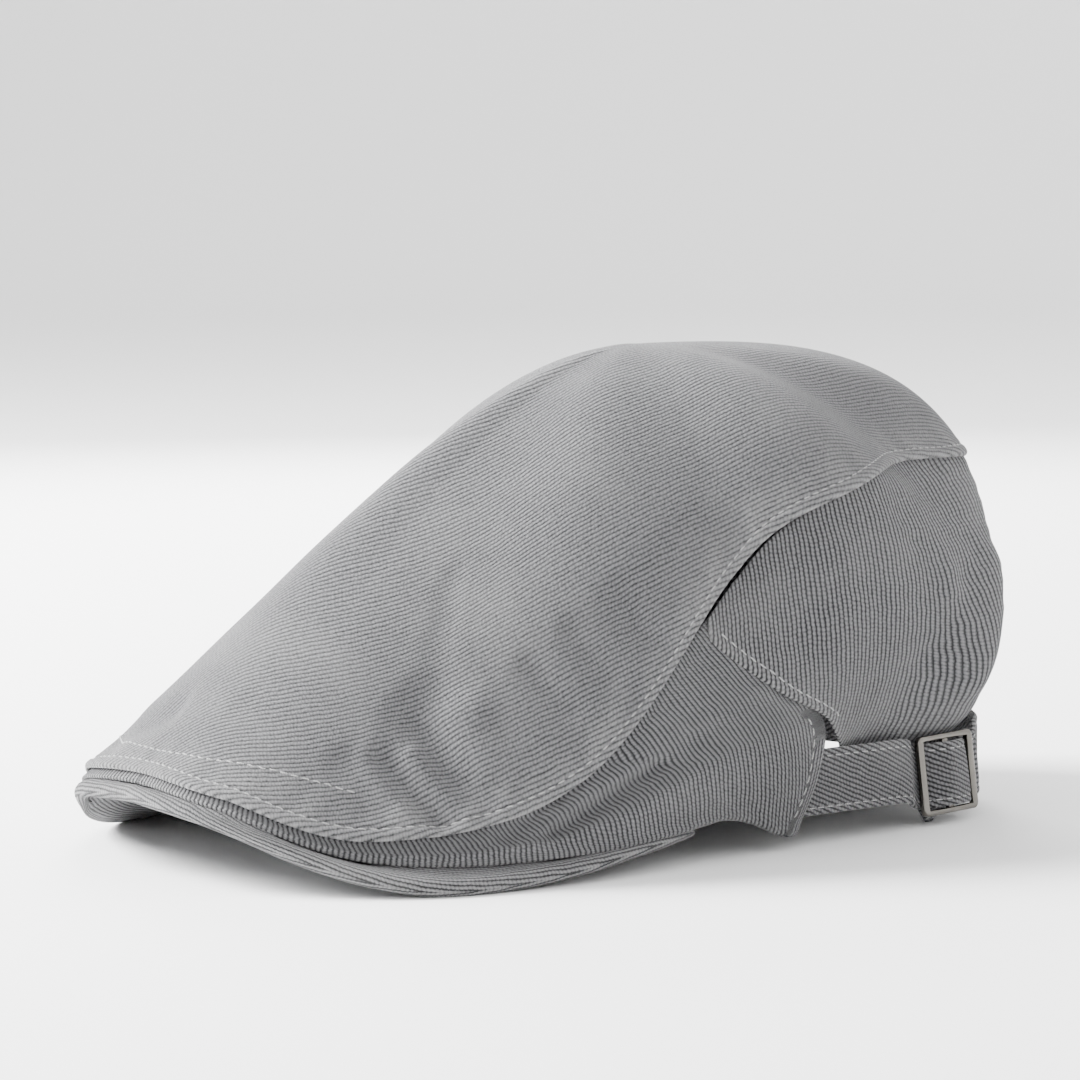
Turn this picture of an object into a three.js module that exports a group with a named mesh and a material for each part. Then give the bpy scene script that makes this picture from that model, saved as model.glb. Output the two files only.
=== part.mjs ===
// Flat cap of grey cotton twill, fastened at the back by a strap with a slide buckle.
//
// Millimetres, +Z up. The front of the cap faces -Y and the wearer's left is +X.
// Z = 0 is the surface that the cap rests on, below the middle of its outer box.
//
// The crown follows one smooth surface. Angles go round it from 0 at the front centre to 180 at the
// back centre, and are negative on the wearer's right. At each angle a Bezier profile climbs from
// the foot of the crown to its apex. The side and back panels lie inside that surface, and the top
// panel lies outside it, so it laps over their upper edges.

import * as THREE from "three";
import { mergeVertices } from "three/addons/utils/BufferGeometryUtils.js";

// Crown
const CROWN_HALF_WIDTH = 82;
const CROWN_FRONT = 142;
const CROWN_BACK = 113;
const CROWN_HEIGHT = 127.5;
const APEX_BEHIND_CENTRE = 22;
const CLOTH = 1.3;
const GAP = 0.3;
const SEAM_ALLOWANCE = 5;

// Side panels
const SIDE_CORNER_DROP = 10.5;
const SIDE_CORNER_DROP_RIGHT = 14.5;
const SIDE_CORNER_FLARE = 3.4;
const SIDE_DROP_FROM = 84;
const SIDE_DROP_UP_TO = 0.4;
const FRONT_SPLIT = 0.12;
const BACK_SPLIT = 0.35;

// Peak
const PEAK_HALF_WIDTH = 85;
const PEAK_FRONT = 144;
const PEAK_RISE = 33;
const PEAK_THICKNESS = 4.2;
const PEAK_END_THICKNESS = 2.4;
const PEAK_EDGE_ROUNDING = 3;
const PEAK_EDGE_SHARE = 0.3;
const PEAK_THIN_FROM = 4.5;
const PEAK_THIN_TO = 7;
const PEAK_END_TUCK = 0.75;
const PEAK_SEAT_SLACK = 0.65;

// Strap and buckle
const STRAP_WIDTH = 17.5;
const STRAP_THICKNESS = 1.8;
const STRAP_INSET = 6.6;
const STRAP_BEHIND_CROWN = 1;
const STRAP_HALF_WIDTH = CROWN_HALF_WIDTH - STRAP_INSET;
const STRAP_BACK = CROWN_BACK + STRAP_BEHIND_CROWN;
const STRAP_CENTRE = 31;
const STRAP_SQUARENESS = 2.5;
const STRAP_HEIGHT = 16;
const STRAP_START = -12;
const BUCKLE_LENGTH = 23.5;
const BUCKLE_HEIGHT = 21.7;
const BUCKLE_THICKNESS = 1.8;
const BUCKLE_BAR = 2.4;
const BUCKLE_RAIL = 1.6;
const BUCKLE_ROUNDING = 1.8;
const BUCKLE_INSET = 5.4;
const BUCKLE_Y = 73;
const BUCKLE_YAW = 11;
const BUCKLE_DROP = 3;
const BUCKLE_LEAN = 7;

// How the cap rests
const FLOOR_PRESS = 0.9;

// Mesh steps
const COLUMN_STEP = 4;
const TOP_ROWS = 14;
const TOP_ROW_SPACING = 1.25;
const PEAK_COLUMNS = 42;

const COLOURS = {
  twill: 0x8b8b8c,
  metal: 0x55524e,
};

// Crown profile, a row each 22.5 degrees from front to back. foot, bulge and shoulder are distances
// out from the centre as shares of the crown's reach at that angle. foot_z, bulge_z and seam_z are
// shares of the crown's height, and seam_z is the lower edge of the top panel.
const CROWN = [
  { foot: 0.985, foot_z: 0.183, bulge: 0.65, bulge_z: 0.585, shoulder: 0.18, seam_z: 0.197 },
  { foot: 1.045, foot_z: 0.162, bulge: 0.65, bulge_z: 0.495, shoulder: 0.17, seam_z: 0.174 },
  { foot: 1.09, foot_z: 0.061, bulge: 0.77, bulge_z: 0.39, shoulder: 0.25, seam_z: 0.093 },
  { foot: 1.08, foot_z: 0.049, bulge: 0.96, bulge_z: 0.37, shoulder: 0.4, seam_z: 0.186 },
  { foot: 0.95, foot_z: 0.088, bulge: 1.24, bulge_z: 0.41, shoulder: 0.5, seam_z: 0.578 },
  { foot: 0.865, foot_z: 0.14, bulge: 1.39, bulge_z: 0.43, shoulder: 0.88, seam_z: 0.723 },
  { foot: 0.97, foot_z: 0.137, bulge: 1.49, bulge_z: 0.36, shoulder: 0.84, seam_z: 0.753 },
  { foot: 0.98, foot_z: 0.144, bulge: 1.33, bulge_z: 0.76, shoulder: 0.99, seam_z: 0.743 },
  { foot: 0.94, foot_z: 0.15, bulge: 1.22, bulge_z: 0.93, shoulder: 0.97, seam_z: 0.732 },
];

// Rows of a side or back panel, from its lower edge to the top seam. up is the share of the climb
// from foot to seam. The side panel ends at side_angle, and the back panel starts at back_angle.
// The z beside each is a share of the crown's height.
const PANEL = [
  { up: 0, side_angle: 98, side_z: 0.105, back_angle: 115, back_z: 0.14 },
  { up: 0.12, side_angle: 100, side_z: 0.147, back_angle: 109, back_z: 0.177 },
  { up: 0.25, side_angle: 101, side_z: 0.196, back_angle: 104, back_z: 0.221 },
  { up: 0.4, side_angle: 100, side_z: 0.267, back_angle: 100, back_z: 0.267 },
  { up: 0.55, side_angle: 93, side_z: 0.32, back_angle: 93, back_z: 0.32 },
  { up: 0.7, side_angle: 89, side_z: 0.364, back_angle: 89, back_z: 0.364 },
  { up: 0.85, side_angle: 86.5, side_z: 0.397, back_angle: 86.5, back_z: 0.397 },
  { up: 1, side_angle: 84, side_z: 0.436, back_angle: 84, back_z: 0.436 },
];

// Folds and creases of the crown, each a line from one place to another. z and width are shares of
// the crown's height. rise is in the thickness of the cloth, and a groove has a negative one.
const FOLDS = [
  { angle: 143, z: 0.52, to_angle: 130, to_z: 0.32, width: 0.09, rise: 1.6 },
  { angle: 150, z: 0.46, to_angle: 139, to_z: 0.28, width: 0.07, rise: -1.6 },
  { angle: 120, z: 0.66, to_angle: 118, to_z: 0.3, width: 0.09, rise: -1 },
  { angle: 104, z: 0.6, to_angle: 102, to_z: 0.34, width: 0.08, rise: 0.9 },
  { angle: 44, z: 0.33, to_angle: 54, to_z: 0.17, width: 0.075, rise: -1.5 },
  { angle: 53, z: 0.33, to_angle: 61, to_z: 0.24, width: 0.06, rise: 1 },
  { angle: 66, z: 0.09, to_angle: 81, to_z: 0.24, width: 0.05, rise: -1.2 },
  { angle: 75, z: 0.48, to_angle: 88, to_z: 0.62, width: 0.1, rise: -1.1 },
  { angle: -22, z: 0.23, to_angle: -4, to_z: 0.31, width: 0.06, rise: -1.1 },
  { angle: -50, z: 0.3, to_angle: -58, to_z: 0.2, width: 0.08, rise: -1.3 },
  { angle: -78, z: 0.5, to_angle: -90, to_z: 0.66, width: 0.1, rise: -1 },
  { angle: -136, z: 0.56, to_angle: -128, to_z: 0.32, width: 0.09, rise: -1.4 },
];

// Half of the peak, from the tip of its rim to its end beside the crown. angle is where the crown's
// lower edge lies on it. rim and root are its outer and inner edges: across is a share of the peak's
// half width, along of its reach to the front, and z of its rise.
const PEAK = [
  { angle: 0, rim_across: 0, rim_along: 0.99, rim_z: 0.61, root_across: 0, root_along: 0.59, root_z: 0.86 },
  { angle: 17, rim_across: 0.3, rim_along: 0.98, rim_z: 0.53, root_across: 0.17, root_along: 0.58, root_z: 0.84 },
  { angle: 32, rim_across: 0.6, rim_along: 0.885, rim_z: 0.29, root_across: 0.33, root_along: 0.55, root_z: 0.76 },
  { angle: 46, rim_across: 0.82, rim_along: 0.77, rim_z: 0.085, root_across: 0.48, root_along: 0.5, root_z: 0.62 },
  { angle: 56, rim_across: 0.94, rim_along: 0.65, rim_z: 0.02, root_across: 0.62, root_along: 0.43, root_z: 0.46 },
  { angle: 66, rim_across: 1, rim_along: 0.45, rim_z: 0.08, root_across: 0.75, root_along: 0.34, root_z: 0.34 },
  { angle: 75, rim_across: 1, rim_along: 0.27, rim_z: 0.2, root_across: 0.84, root_along: 0.235, root_z: 0.29 },
  { angle: 81.5, rim_across: 0.97, rim_along: 0.15, rim_z: 0.25, root_across: 0.88, root_along: 0.14, root_z: 0.26 },
];

const rad = THREE.MathUtils.degToRad;
const lerp = THREE.MathUtils.lerp;
const clamp = THREE.MathUtils.clamp;
const smooth = (x) => THREE.MathUtils.smoothstep(x, 0, 1);

// Smooth value of a table's column at a position in rows, mirrored about the first and last rows.
function fromTable(table, column, position) {
  const last = table.length - 1;
  const row = (i) => {
    const inside = i < 0 ? -i : i > last ? 2 * last - i : i;
    const sign = i < 0 && column.endsWith("across") ? -1 : 1;
    return sign * table[clamp(inside, 0, last)][column];
  };
  const i = clamp(Math.floor(position), 0, last - 1);
  const t = position - i;
  const [a, b, c, d] = [row(i - 1), row(i), row(i + 1), row(i + 2)];
  const bend = 2 * a - 5 * b + 4 * c - d;
  const twist = 3 * b - a - 3 * c + d;
  return 0.5 * (2 * b + (c - a) * t + bend * t * t + twist * t * t * t);
}

const CROWN_ROW_ANGLE = 180 / (CROWN.length - 1);
const crownValue = (column, angle) => fromTable(CROWN, column, Math.abs(angle) / CROWN_ROW_ANGLE);

// A point of the crown: share is the distance out from the centre, z the height above the foot line.
function spread(angle, share, z) {
  const reach = Math.cos(rad(angle)) > 0 ? CROWN_FRONT : CROWN_BACK;
  const x = share * CROWN_HALF_WIDTH * Math.sin(rad(angle));
  return new THREE.Vector3(x, -share * reach * Math.cos(rad(angle)), z);
}

function crownProfile(angle) {
  const column = (name) => crownValue(name, angle);
  return [
    spread(angle, column("foot"), column("foot_z") * CROWN_HEIGHT),
    spread(angle, column("bulge"), column("bulge_z") * CROWN_HEIGHT),
    spread(angle, column("shoulder"), CROWN_HEIGHT),
    new THREE.Vector3(0, APEX_BEHIND_CENTRE, CROWN_HEIGHT),
  ];
}

function bezier(points, s) {
  const r = 1 - s;
  const weights = [r * r * r, 3 * r * r * s, 3 * r * s * s, s * s * s];
  const sum = new THREE.Vector3();
  points.forEach((p, i) => sum.addScaledVector(p, weights[i]));
  return sum;
}

const crownPoint = (angle, s) => bezier(crownProfile(angle), s);

// Share s of the profile at which it reaches height z.
function climbTo(angle, z) {
  const profile = crownProfile(angle);
  let [low, high] = [-0.25, 0.95];
  for (let i = 0; i < 30; i += 1) {
    const middle = (low + high) / 2;
    if (bezier(profile, middle).z < z) low = middle;
    else high = middle;
  }
  return (low + high) / 2;
}

function crownNormal(angle, s) {
  if (s > 0.999) return new THREE.Vector3(0, 0, 1);
  const step = 0.002;
  const across = crownPoint(angle + 0.5, s).sub(crownPoint(angle - 0.5, s));
  const up = crownPoint(angle, s + step).sub(crownPoint(angle, s - step));
  return across.cross(up).normalize();
}

const footZ = (angle) => crownValue("foot_z", angle) * CROWN_HEIGHT;
const seamZ = (angle) => crownValue("seam_z", angle) * CROWN_HEIGHT;

// The cap stands on the sides of its peak and its rear corners. What meets the floor is flattened.
const LIFT = PEAK_THICKNESS / 2 - PEAK[4].rim_z * PEAK_RISE - FLOOR_PRESS;
const settle = (point) => point.clone().setZ(Math.max(0, point.z + LIFT));

function toMesh(name, points, faces, colour, metalness = 0) {
  const geometry = new THREE.BufferGeometry();
  const flat = points.flatMap((p) => settle(p).toArray());
  geometry.setAttribute("position", new THREE.Float32BufferAttribute(flat, 3));
  geometry.setIndex(faces.flat());
  geometry.computeVertexNormals();
  const roughness = metalness ? 0.35 : 0.95;
  const mesh = new THREE.Mesh(geometry, new THREE.MeshStandardMaterial({ color: colour, roughness, metalness }));
  mesh.name = name;
  return mesh;
}

// A closed sheet between two layers of a grid. layer(i, j, side) gives the grid's points, side 1
// outside and 0 inside. round closes the columns on themselves, and capped draws the last row into
// one point.
function sheet(name, columns, rows, layer, { round = false, capped = false } = {}, colour = COLOURS.twill) {
  const points = [];
  const faces = [];
  const wide = round ? columns : columns + 1;
  const tall = capped ? rows : rows + 1;
  const at = (i, j, side) => {
    if (capped && j === rows) return 2 * wide * tall + side;
    return side * wide * tall + j * wide + (i % wide);
  };
  for (const side of [0, 1]) {
    for (let j = 0; j < tall; j += 1) {
      for (let i = 0; i < wide; i += 1) points.push(layer(i, j, side));
    }
  }
  if (capped) points.push(layer(0, rows, 0), layer(0, rows, 1));
  const quad = (a, b, c, d) => {
    if (a !== b && b !== c && c !== a) faces.push([a, b, c]);
    if (a !== c && c !== d && d !== a) faces.push([a, c, d]);
  };
  for (let j = 0; j < rows; j += 1) {
    for (let i = 0; i < columns; i += 1) {
      quad(at(i, j, 1), at(i + 1, j, 1), at(i + 1, j + 1, 1), at(i, j + 1, 1));
      quad(at(i, j, 0), at(i, j + 1, 0), at(i + 1, j + 1, 0), at(i + 1, j, 0));
    }
  }
  for (let i = 0; i < columns; i += 1) {
    quad(at(i, 0, 0), at(i + 1, 0, 0), at(i + 1, 0, 1), at(i, 0, 1));
    if (!capped) quad(at(i, rows, 1), at(i + 1, rows, 1), at(i + 1, rows, 0), at(i, rows, 0));
  }
  if (!round) {
    for (let j = 0; j < rows; j += 1) {
      quad(at(0, j, 0), at(0, j, 1), at(0, j + 1, 1), at(0, j + 1, 0));
      quad(at(columns, j, 1), at(columns, j, 0), at(columns, j + 1, 0), at(columns, j + 1, 1));
    }
  }
  return toMesh(name, points, faces, colour);
}

// Height of the folds over the plain crown at a place on it.
function foldRise(angle, z) {
  const flat = (degrees, height) => new THREE.Vector2(rad(degrees) * CROWN_HALF_WIDTH, height);
  return FOLDS.reduce((sum, fold) => {
    const start = flat(fold.angle, fold.z * CROWN_HEIGHT);
    const line = flat(fold.to_angle, fold.to_z * CROWN_HEIGHT).sub(start);
    const place = flat(angle, z).sub(start);
    const along = clamp(place.dot(line) / line.lengthSq(), 0, 1);
    const away = place.distanceTo(line.multiplyScalar(along)) / (fold.width * CROWN_HEIGHT);
    return sum + fold.rise * CLOTH * (1 - smooth(away));
  }, 0);
}

// A point of a crown piece, offset from the crown surface: angle is signed, s the share of the climb.
function crownLayer(angle, s, offset) {
  const point = crownPoint(angle, s);
  return point.addScaledVector(crownNormal(angle, s), offset + foldRise(angle, point.z));
}

// The top panel's second row lies at the end of the allowance below it, so both bend alike there.
function topPanel() {
  const columns = 360 / COLUMN_STEP;
  return sheet("top_panel", columns, TOP_ROWS, (i, j, side) => {
    const angle = -180 + i * COLUMN_STEP;
    const edge = climbTo(angle, seamZ(angle));
    const lap = climbTo(angle, seamZ(angle) + SEAM_ALLOWANCE);
    const s = j === 0 ? edge : lerp(lap, 1, ((j - 1) / (TOP_ROWS - 1)) ** TOP_ROW_SPACING);
    return crownLayer(angle, s, GAP / 2 + side * CLOTH);
  }, { round: true, capped: true });
}

// Share of the climb at a panel's row. Towards the panel's own edge, where edge is 1, the row bends
// to the height that the edge has. One row past the table is the allowance under the top panel.
function panelClimb(angle, row, which, edge) {
  const beyond = row === PANEL.length;
  const { up, [`${which}_angle`]: endAngle, [`${which}_z`]: endZ } = PANEL[beyond ? row - 1 : row];
  const [foot, seam] = [footZ(endAngle), seamZ(endAngle)];
  const endUp = (endZ * CROWN_HEIGHT - foot) / (seam - foot);
  const climb = lerp(up, endUp, edge ** 3);
  const z = lerp(footZ(angle), seamZ(angle), climb);
  return climbTo(angle, beyond ? z + SEAM_ALLOWANCE : z);
}

const SEAM_ANGLE = PANEL[PANEL.length - 1].side_angle;
const panelAngle = (row, which) => PANEL[Math.min(row, PANEL.length - 1)][`${which}_angle`];

// How far a side panel's rear corner hangs below the crown surface.
function cornerDrop(angle, row, drop) {
  const up = row < PANEL.length ? PANEL[row].up : 1;
  const towardsEdge = smooth((angle - SIDE_DROP_FROM) / (PANEL[0].side_angle - SIDE_DROP_FROM));
  return drop * towardsEdge * Math.max(0, 1 - up / SIDE_DROP_UP_TO);
}

function sidePanel(name, hand, drop) {
  const columns = SEAM_ANGLE / COLUMN_STEP;
  return sheet(name, columns, PANEL.length, (i, j, side) => {
    const column = hand > 0 ? i : columns - i;
    const edge = column / columns;
    const angle = lerp(FRONT_SPLIT, panelAngle(j, "side"), edge);
    const point = crownLayer(hand * angle, panelClimb(angle, j, "side", edge), -GAP / 2 - (1 - side) * CLOTH);
    const fall = cornerDrop(angle, j, drop);
    point.z -= fall;
    point.x += (hand * SIDE_CORNER_FLARE * fall) / drop;
    return point;
  });
}

function backPanel() {
  const columns = (360 - 2 * SEAM_ANGLE) / COLUMN_STEP;
  return sheet("back_panel", columns, PANEL.length, (i, j, side) => {
    const start = panelAngle(j, "back") + BACK_SPLIT;
    const around = lerp(start, 360 - start, i / columns);
    const angle = around > 180 ? around - 360 : around;
    const edge = Math.abs((2 * i) / columns - 1);
    const s = panelClimb(Math.abs(angle), j, "back", edge);
    return crownLayer(angle, s, -GAP / 2 - (1 - side) * CLOTH);
  });
}

// Rows of the peak from its root to its rim. Up to PEAK_SEAT_ROW they run to the line that carries
// the crown's lower edge, and from there to the rim.
const PEAK_SEAT_ROW = 3;
const PEAK_ROWS = [0, 1 / 3, 2 / 3, 1, 0.35, 0.7, 0.92, 1];

// The peak thins towards its two ends, and its rim tucks in under the crown there.
const peakThinning = (position) =>
  smooth((Math.abs(position) - PEAK_THIN_FROM) / (PEAK_THIN_TO - PEAK_THIN_FROM));
const peakThickness = (position) => lerp(PEAK_THICKNESS, PEAK_END_THICKNESS, peakThinning(position));

function peakPlace(position, row) {
  const sign = Math.sign(position) || 1;
  const at = (column) => fromTable(PEAK, column, Math.abs(position));
  const edge = (which) => {
    const x = sign * at(`${which}_across`) * PEAK_HALF_WIDTH;
    return new THREE.Vector3(x, -at(`${which}_along`) * PEAK_FRONT, at(`${which}_z`) * PEAK_RISE);
  };
  const seat = crownLayer(sign * at("angle"), 0, -GAP / 2 - CLOTH);
  seat.z -= GAP + peakThickness(position) / 2 + PEAK_SEAT_SLACK;
  if (row <= PEAK_SEAT_ROW) return edge("root").lerp(seat, PEAK_ROWS[row]);
  const tuck = PEAK_END_TUCK * peakThinning(position) ** 2;
  return seat.lerp(edge("rim"), PEAK_ROWS[row] * (1 - tuck));
}

function peak() {
  const last = PEAK.length - 1;
  const outside = (v) => Math.max(0, 1 - v);
  return sheet("peak", PEAK_COLUMNS, PEAK_ROWS.length - 1, (i, j, side) => {
    const position = lerp(-last, last, i / PEAK_COLUMNS);
    const point = peakPlace(position, j);
    const before = peakPlace(Math.max(position - 0.1, -last), j);
    const along = peakPlace(Math.min(position + 0.1, last), j).sub(before);
    const across = peakPlace(position, Math.min(j + 1, PEAK_ROWS.length - 1));
    across.sub(peakPlace(position, Math.max(j - 1, 0)));
    const normal = along.cross(across).normalize();
    const toRim = peakPlace(position, PEAK_ROWS.length - 1).distanceTo(point);
    const nearRim = j > PEAK_SEAT_ROW ? outside(toRim / PEAK_EDGE_ROUNDING) : 0;
    const round = Math.sqrt(1 - (1 - PEAK_EDGE_SHARE ** 2) * nearRim ** 2);
    return point.addScaledVector(normal, (side - 0.5) * peakThickness(position) * round);
  });
}

// Plan of the strap: t goes from 0 inside the left side panel, over the back, to 1 at the right.
function strapPlan(t) {
  const angle = rad(lerp(STRAP_START, 180 - STRAP_START, t));
  const power = 2 / STRAP_SQUARENESS;
  const [c, s] = [Math.cos(angle), Math.sin(angle)];
  const straight = angle < 0 || angle > Math.PI;
  const x = STRAP_HALF_WIDTH * Math.sign(c) * (straight ? 1 : Math.abs(c) ** power);
  const y = STRAP_CENTRE + (STRAP_BACK - STRAP_CENTRE) * Math.sign(s) * Math.abs(s) ** power;
  return new THREE.Vector3(x, y, STRAP_HEIGHT);
}

// A flat band along its centre line. tilt is how far its width leans along the band, and lean how
// far its lower edge stands out, both in degrees.
function band(name, stations) {
  const last = stations.length - 1;
  return sheet(name, last, 1, (i, j, side) => {
    const { centre, tilt = 0, lean = 0 } = stations[i];
    const along = stations[Math.min(i + 1, last)].centre.clone().sub(stations[Math.max(i - 1, 0)].centre);
    along.setZ(0).normalize();
    const level = new THREE.Vector3(along.y, -along.x, 0);
    const facing = level.dot(new THREE.Vector3(centre.x, centre.y - STRAP_CENTRE, 0)) < 0 ? -1 : 1;
    const up = new THREE.Vector3(0, 0, 1).applyAxisAngle(level, rad(tilt));
    up.applyAxisAngle(along, -facing * rad(lean));
    const out = level.clone().applyAxisAngle(along, -facing * rad(lean));
    const point = centre.clone().addScaledVector(out, (side - 0.5) * STRAP_THICKNESS);
    return point.addScaledVector(up, (j - 0.5) * STRAP_WIDTH);
  });
}

// A place beside the buckle: along runs towards the back, out away from the head, up from its middle.
function atBuckle({ along, out, up = 0 }) {
  const place = new THREE.Vector3(out, along, up);
  place.applyAxisAngle(new THREE.Vector3(0, 1, 0), -rad(BUCKLE_LEAN));
  place.applyAxisAngle(new THREE.Vector3(0, 0, 1), rad(BUCKLE_YAW));
  return place.add(new THREE.Vector3(STRAP_HALF_WIDTH - BUCKLE_INSET, BUCKLE_Y, STRAP_HEIGHT - BUCKLE_DROP));
}

function planStations(t0, t1, steps) {
  return Array.from({ length: steps + 1 }, (_, i) => ({ centre: strapPlan(lerp(t0, t1, i / steps)) }));
}

// Where the bands thread the buckle: behind its front bar, over the middle bar and back. The long
// strap comes from behind the rear bar, and its tail droops inside.
const LOOP = [
  { along: -17, out: 0.1, up: 2.4, lean: 2 },
  { along: -13.8, out: -1.7, up: 1, lean: 6 },
  { along: -10.6, out: -2.4, lean: BUCKLE_LEAN },
  { along: -7.6, out: -1.9, lean: BUCKLE_LEAN },
  { along: -4, out: 0.8, lean: BUCKLE_LEAN },
  { along: -1.5, out: 2.3, lean: BUCKLE_LEAN },
  { along: 1.2, out: 2.4, lean: BUCKLE_LEAN },
  { along: 4.4, out: 2, lean: BUCKLE_LEAN },
  { along: 6.9, out: 0.9, lean: BUCKLE_LEAN },
  { along: 7.5, out: -0.7, lean: BUCKLE_LEAN },
  { along: 6, out: -2.2, lean: BUCKLE_LEAN },
  { along: 3.2, out: -2.6, lean: BUCKLE_LEAN },
];
const TAIL = [
  { along: -8.4, out: -5.4, up: -7, tilt: 36, lean: BUCKLE_LEAN },
  { along: -3.5, out: -5.5, up: -4.2, tilt: 32, lean: BUCKLE_LEAN },
  { along: 1.5, out: -5.5, up: -1.8, tilt: 24, lean: BUCKLE_LEAN },
  { along: 6, out: -5.3, up: -0.4, tilt: 12, lean: BUCKLE_LEAN },
  { along: 9.4, out: -3.9, up: 0, tilt: 4, lean: BUCKLE_LEAN },
  { along: 12.4, out: -2.6, up: 0.2, lean: BUCKLE_LEAN },
  { along: 15.4, out: -2.4, up: 1.4, lean: 5 },
];
const threaded = (rows) => rows.map((row) => ({ ...row, centre: atBuckle(row) }));

function strapLeft() {
  return band("strap_left", [...planStations(0, 0.095, 5), ...threaded(LOOP)]);
}

function strapBack() {
  return band("strap_back", [...threaded(TAIL), ...planStations(0.275, 1, 42)]);
}

function buckle() {
  const [w, h, bar] = [BUCKLE_LENGTH / 2, BUCKLE_HEIGHT / 2, BUCKLE_BAR];
  const rectangle = (path, x0, x1, y, r) => {
    path.moveTo(x0 + r, -y);
    path.lineTo(x1 - r, -y);
    path.quadraticCurveTo(x1, -y, x1, -y + r);
    path.lineTo(x1, y - r);
    path.quadraticCurveTo(x1, y, x1 - r, y);
    path.lineTo(x0 + r, y);
    path.quadraticCurveTo(x0, y, x0, y - r);
    path.lineTo(x0, -y + r);
    path.quadraticCurveTo(x0, -y, x0 + r, -y);
    return path;
  };
  const outline = rectangle(new THREE.Shape(), -w, w, h, BUCKLE_ROUNDING);
  const inner = h - BUCKLE_RAIL;
  outline.holes.push(rectangle(new THREE.Path(), -w + bar, -bar / 2, inner, BUCKLE_ROUNDING / 3));
  outline.holes.push(rectangle(new THREE.Path(), bar / 2, w - bar, inner, BUCKLE_ROUNDING / 3));
  const options = { depth: BUCKLE_THICKNESS, bevelEnabled: false, curveSegments: 3 };
  const geometry = new THREE.ExtrudeGeometry(outline, options);
  geometry.deleteAttribute("normal");
  geometry.deleteAttribute("uv");
  const merged = mergeVertices(geometry, 1e-4);
  const position = merged.getAttribute("position");
  const points = [];
  for (let i = 0; i < position.count; i += 1) {
    const out = position.getZ(i) - BUCKLE_THICKNESS / 2;
    points.push(atBuckle({ along: position.getX(i), out, up: position.getY(i) }));
  }
  return toMesh("buckle", points, [Array.from(merged.index.array)], COLOURS.metal, 1);
}

const cap = new THREE.Group().add(
  topPanel(),
  sidePanel("side_panel_left", 1, SIDE_CORNER_DROP),
  sidePanel("side_panel_right", -1, SIDE_CORNER_DROP_RIGHT),
  backPanel(),
  peak(),
  strapLeft(),
  strapBack(),
  buckle(),
);

// Fore and aft the part is moved so that the middle of its box stands over the origin.
const middle = new THREE.Box3().setFromObject(cap).getCenter(new THREE.Vector3());
cap.children.forEach((mesh) => mesh.geometry.translate(-middle.x, -middle.y, 0));

export default cap;
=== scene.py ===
"""Flat cap of grey cotton twill with a strap and slide buckle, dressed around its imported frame.

Metres, +Z up, the peak towards -Y and the wearer's left towards +X. The crown is one smooth surface.
Angles go round it in degrees, 0 at the front and 180 at the back, negative on the wearer's right. The
climb goes up it from 0 at its foot to 1 at the apex.
"""

import math
from collections import namedtuple

import bpy
import numpy as np
from bpy.props import FloatProperty, FloatVectorProperty, PointerProperty
from mathutils import Matrix, Vector, noise


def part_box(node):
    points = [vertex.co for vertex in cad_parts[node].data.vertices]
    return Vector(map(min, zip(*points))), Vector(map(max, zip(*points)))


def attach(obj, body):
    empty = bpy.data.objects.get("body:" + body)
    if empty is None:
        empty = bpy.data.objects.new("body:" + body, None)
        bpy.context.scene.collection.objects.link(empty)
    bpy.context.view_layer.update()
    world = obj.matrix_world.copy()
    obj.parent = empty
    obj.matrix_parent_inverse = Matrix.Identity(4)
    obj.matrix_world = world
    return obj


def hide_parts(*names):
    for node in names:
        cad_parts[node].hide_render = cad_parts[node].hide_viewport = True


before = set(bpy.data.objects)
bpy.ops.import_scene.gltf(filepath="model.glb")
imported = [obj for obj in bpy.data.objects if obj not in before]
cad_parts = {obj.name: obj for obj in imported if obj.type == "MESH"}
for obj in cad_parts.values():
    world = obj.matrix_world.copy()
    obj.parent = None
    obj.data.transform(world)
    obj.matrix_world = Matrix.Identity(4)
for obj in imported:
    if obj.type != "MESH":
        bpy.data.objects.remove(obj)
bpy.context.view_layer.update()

bl_info = {
    "name": "Flat Cap",
    "version": (1, 0, 0),
    "blender": (4, 5, 0),
    "location": "View3D > Sidebar > Cap",
    "description": "Cloth, stitching, buckle and studio of a flat cap",
    "category": "Add Mesh",
}

MM = 0.001

# Shares of the crown's reach (foot, bulge, shoulder) and of its height, a value each 22.5 degrees
# from front to back. seam_z is the lower edge of the top panel.
CROWN = {
    "foot": (0.985, 1.045, 1.09, 1.08, 0.95, 0.865, 0.97, 0.98, 0.94),
    "foot_z": (0.183, 0.162, 0.061, 0.049, 0.088, 0.14, 0.137, 0.144, 0.15),
    "bulge": (0.65, 0.65, 0.77, 0.96, 1.24, 1.39, 1.49, 1.33, 1.22),
    "bulge_z": (0.585, 0.495, 0.39, 0.37, 0.41, 0.43, 0.36, 0.76, 0.93),
    "shoulder": (0.18, 0.17, 0.25, 0.4, 0.5, 0.88, 0.84, 0.99, 0.97),
    "seam_z": (0.197, 0.174, 0.093, 0.186, 0.578, 0.723, 0.753, 0.743, 0.732),
}
CROWN_ROW_ANGLE = 22.5

# Where the side panel ends and the back panel starts, from the lower edge up to the top seam. up is
# the share of the climb, and the z beside each angle is a share of the crown's height.
PANEL = {
    "up": (0, 0.12, 0.25, 0.4, 0.55, 0.7, 0.85, 1),
    "side_angle": (98, 100, 101, 100, 93, 89, 86.5, 84),
    "side_z": (0.105, 0.147, 0.196, 0.267, 0.32, 0.364, 0.397, 0.436),
    "back_angle": (115, 109, 104, 100, 93, 89, 86.5, 84),
    "back_z": (0.14, 0.177, 0.221, 0.267, 0.32, 0.364, 0.397, 0.436),
}

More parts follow.
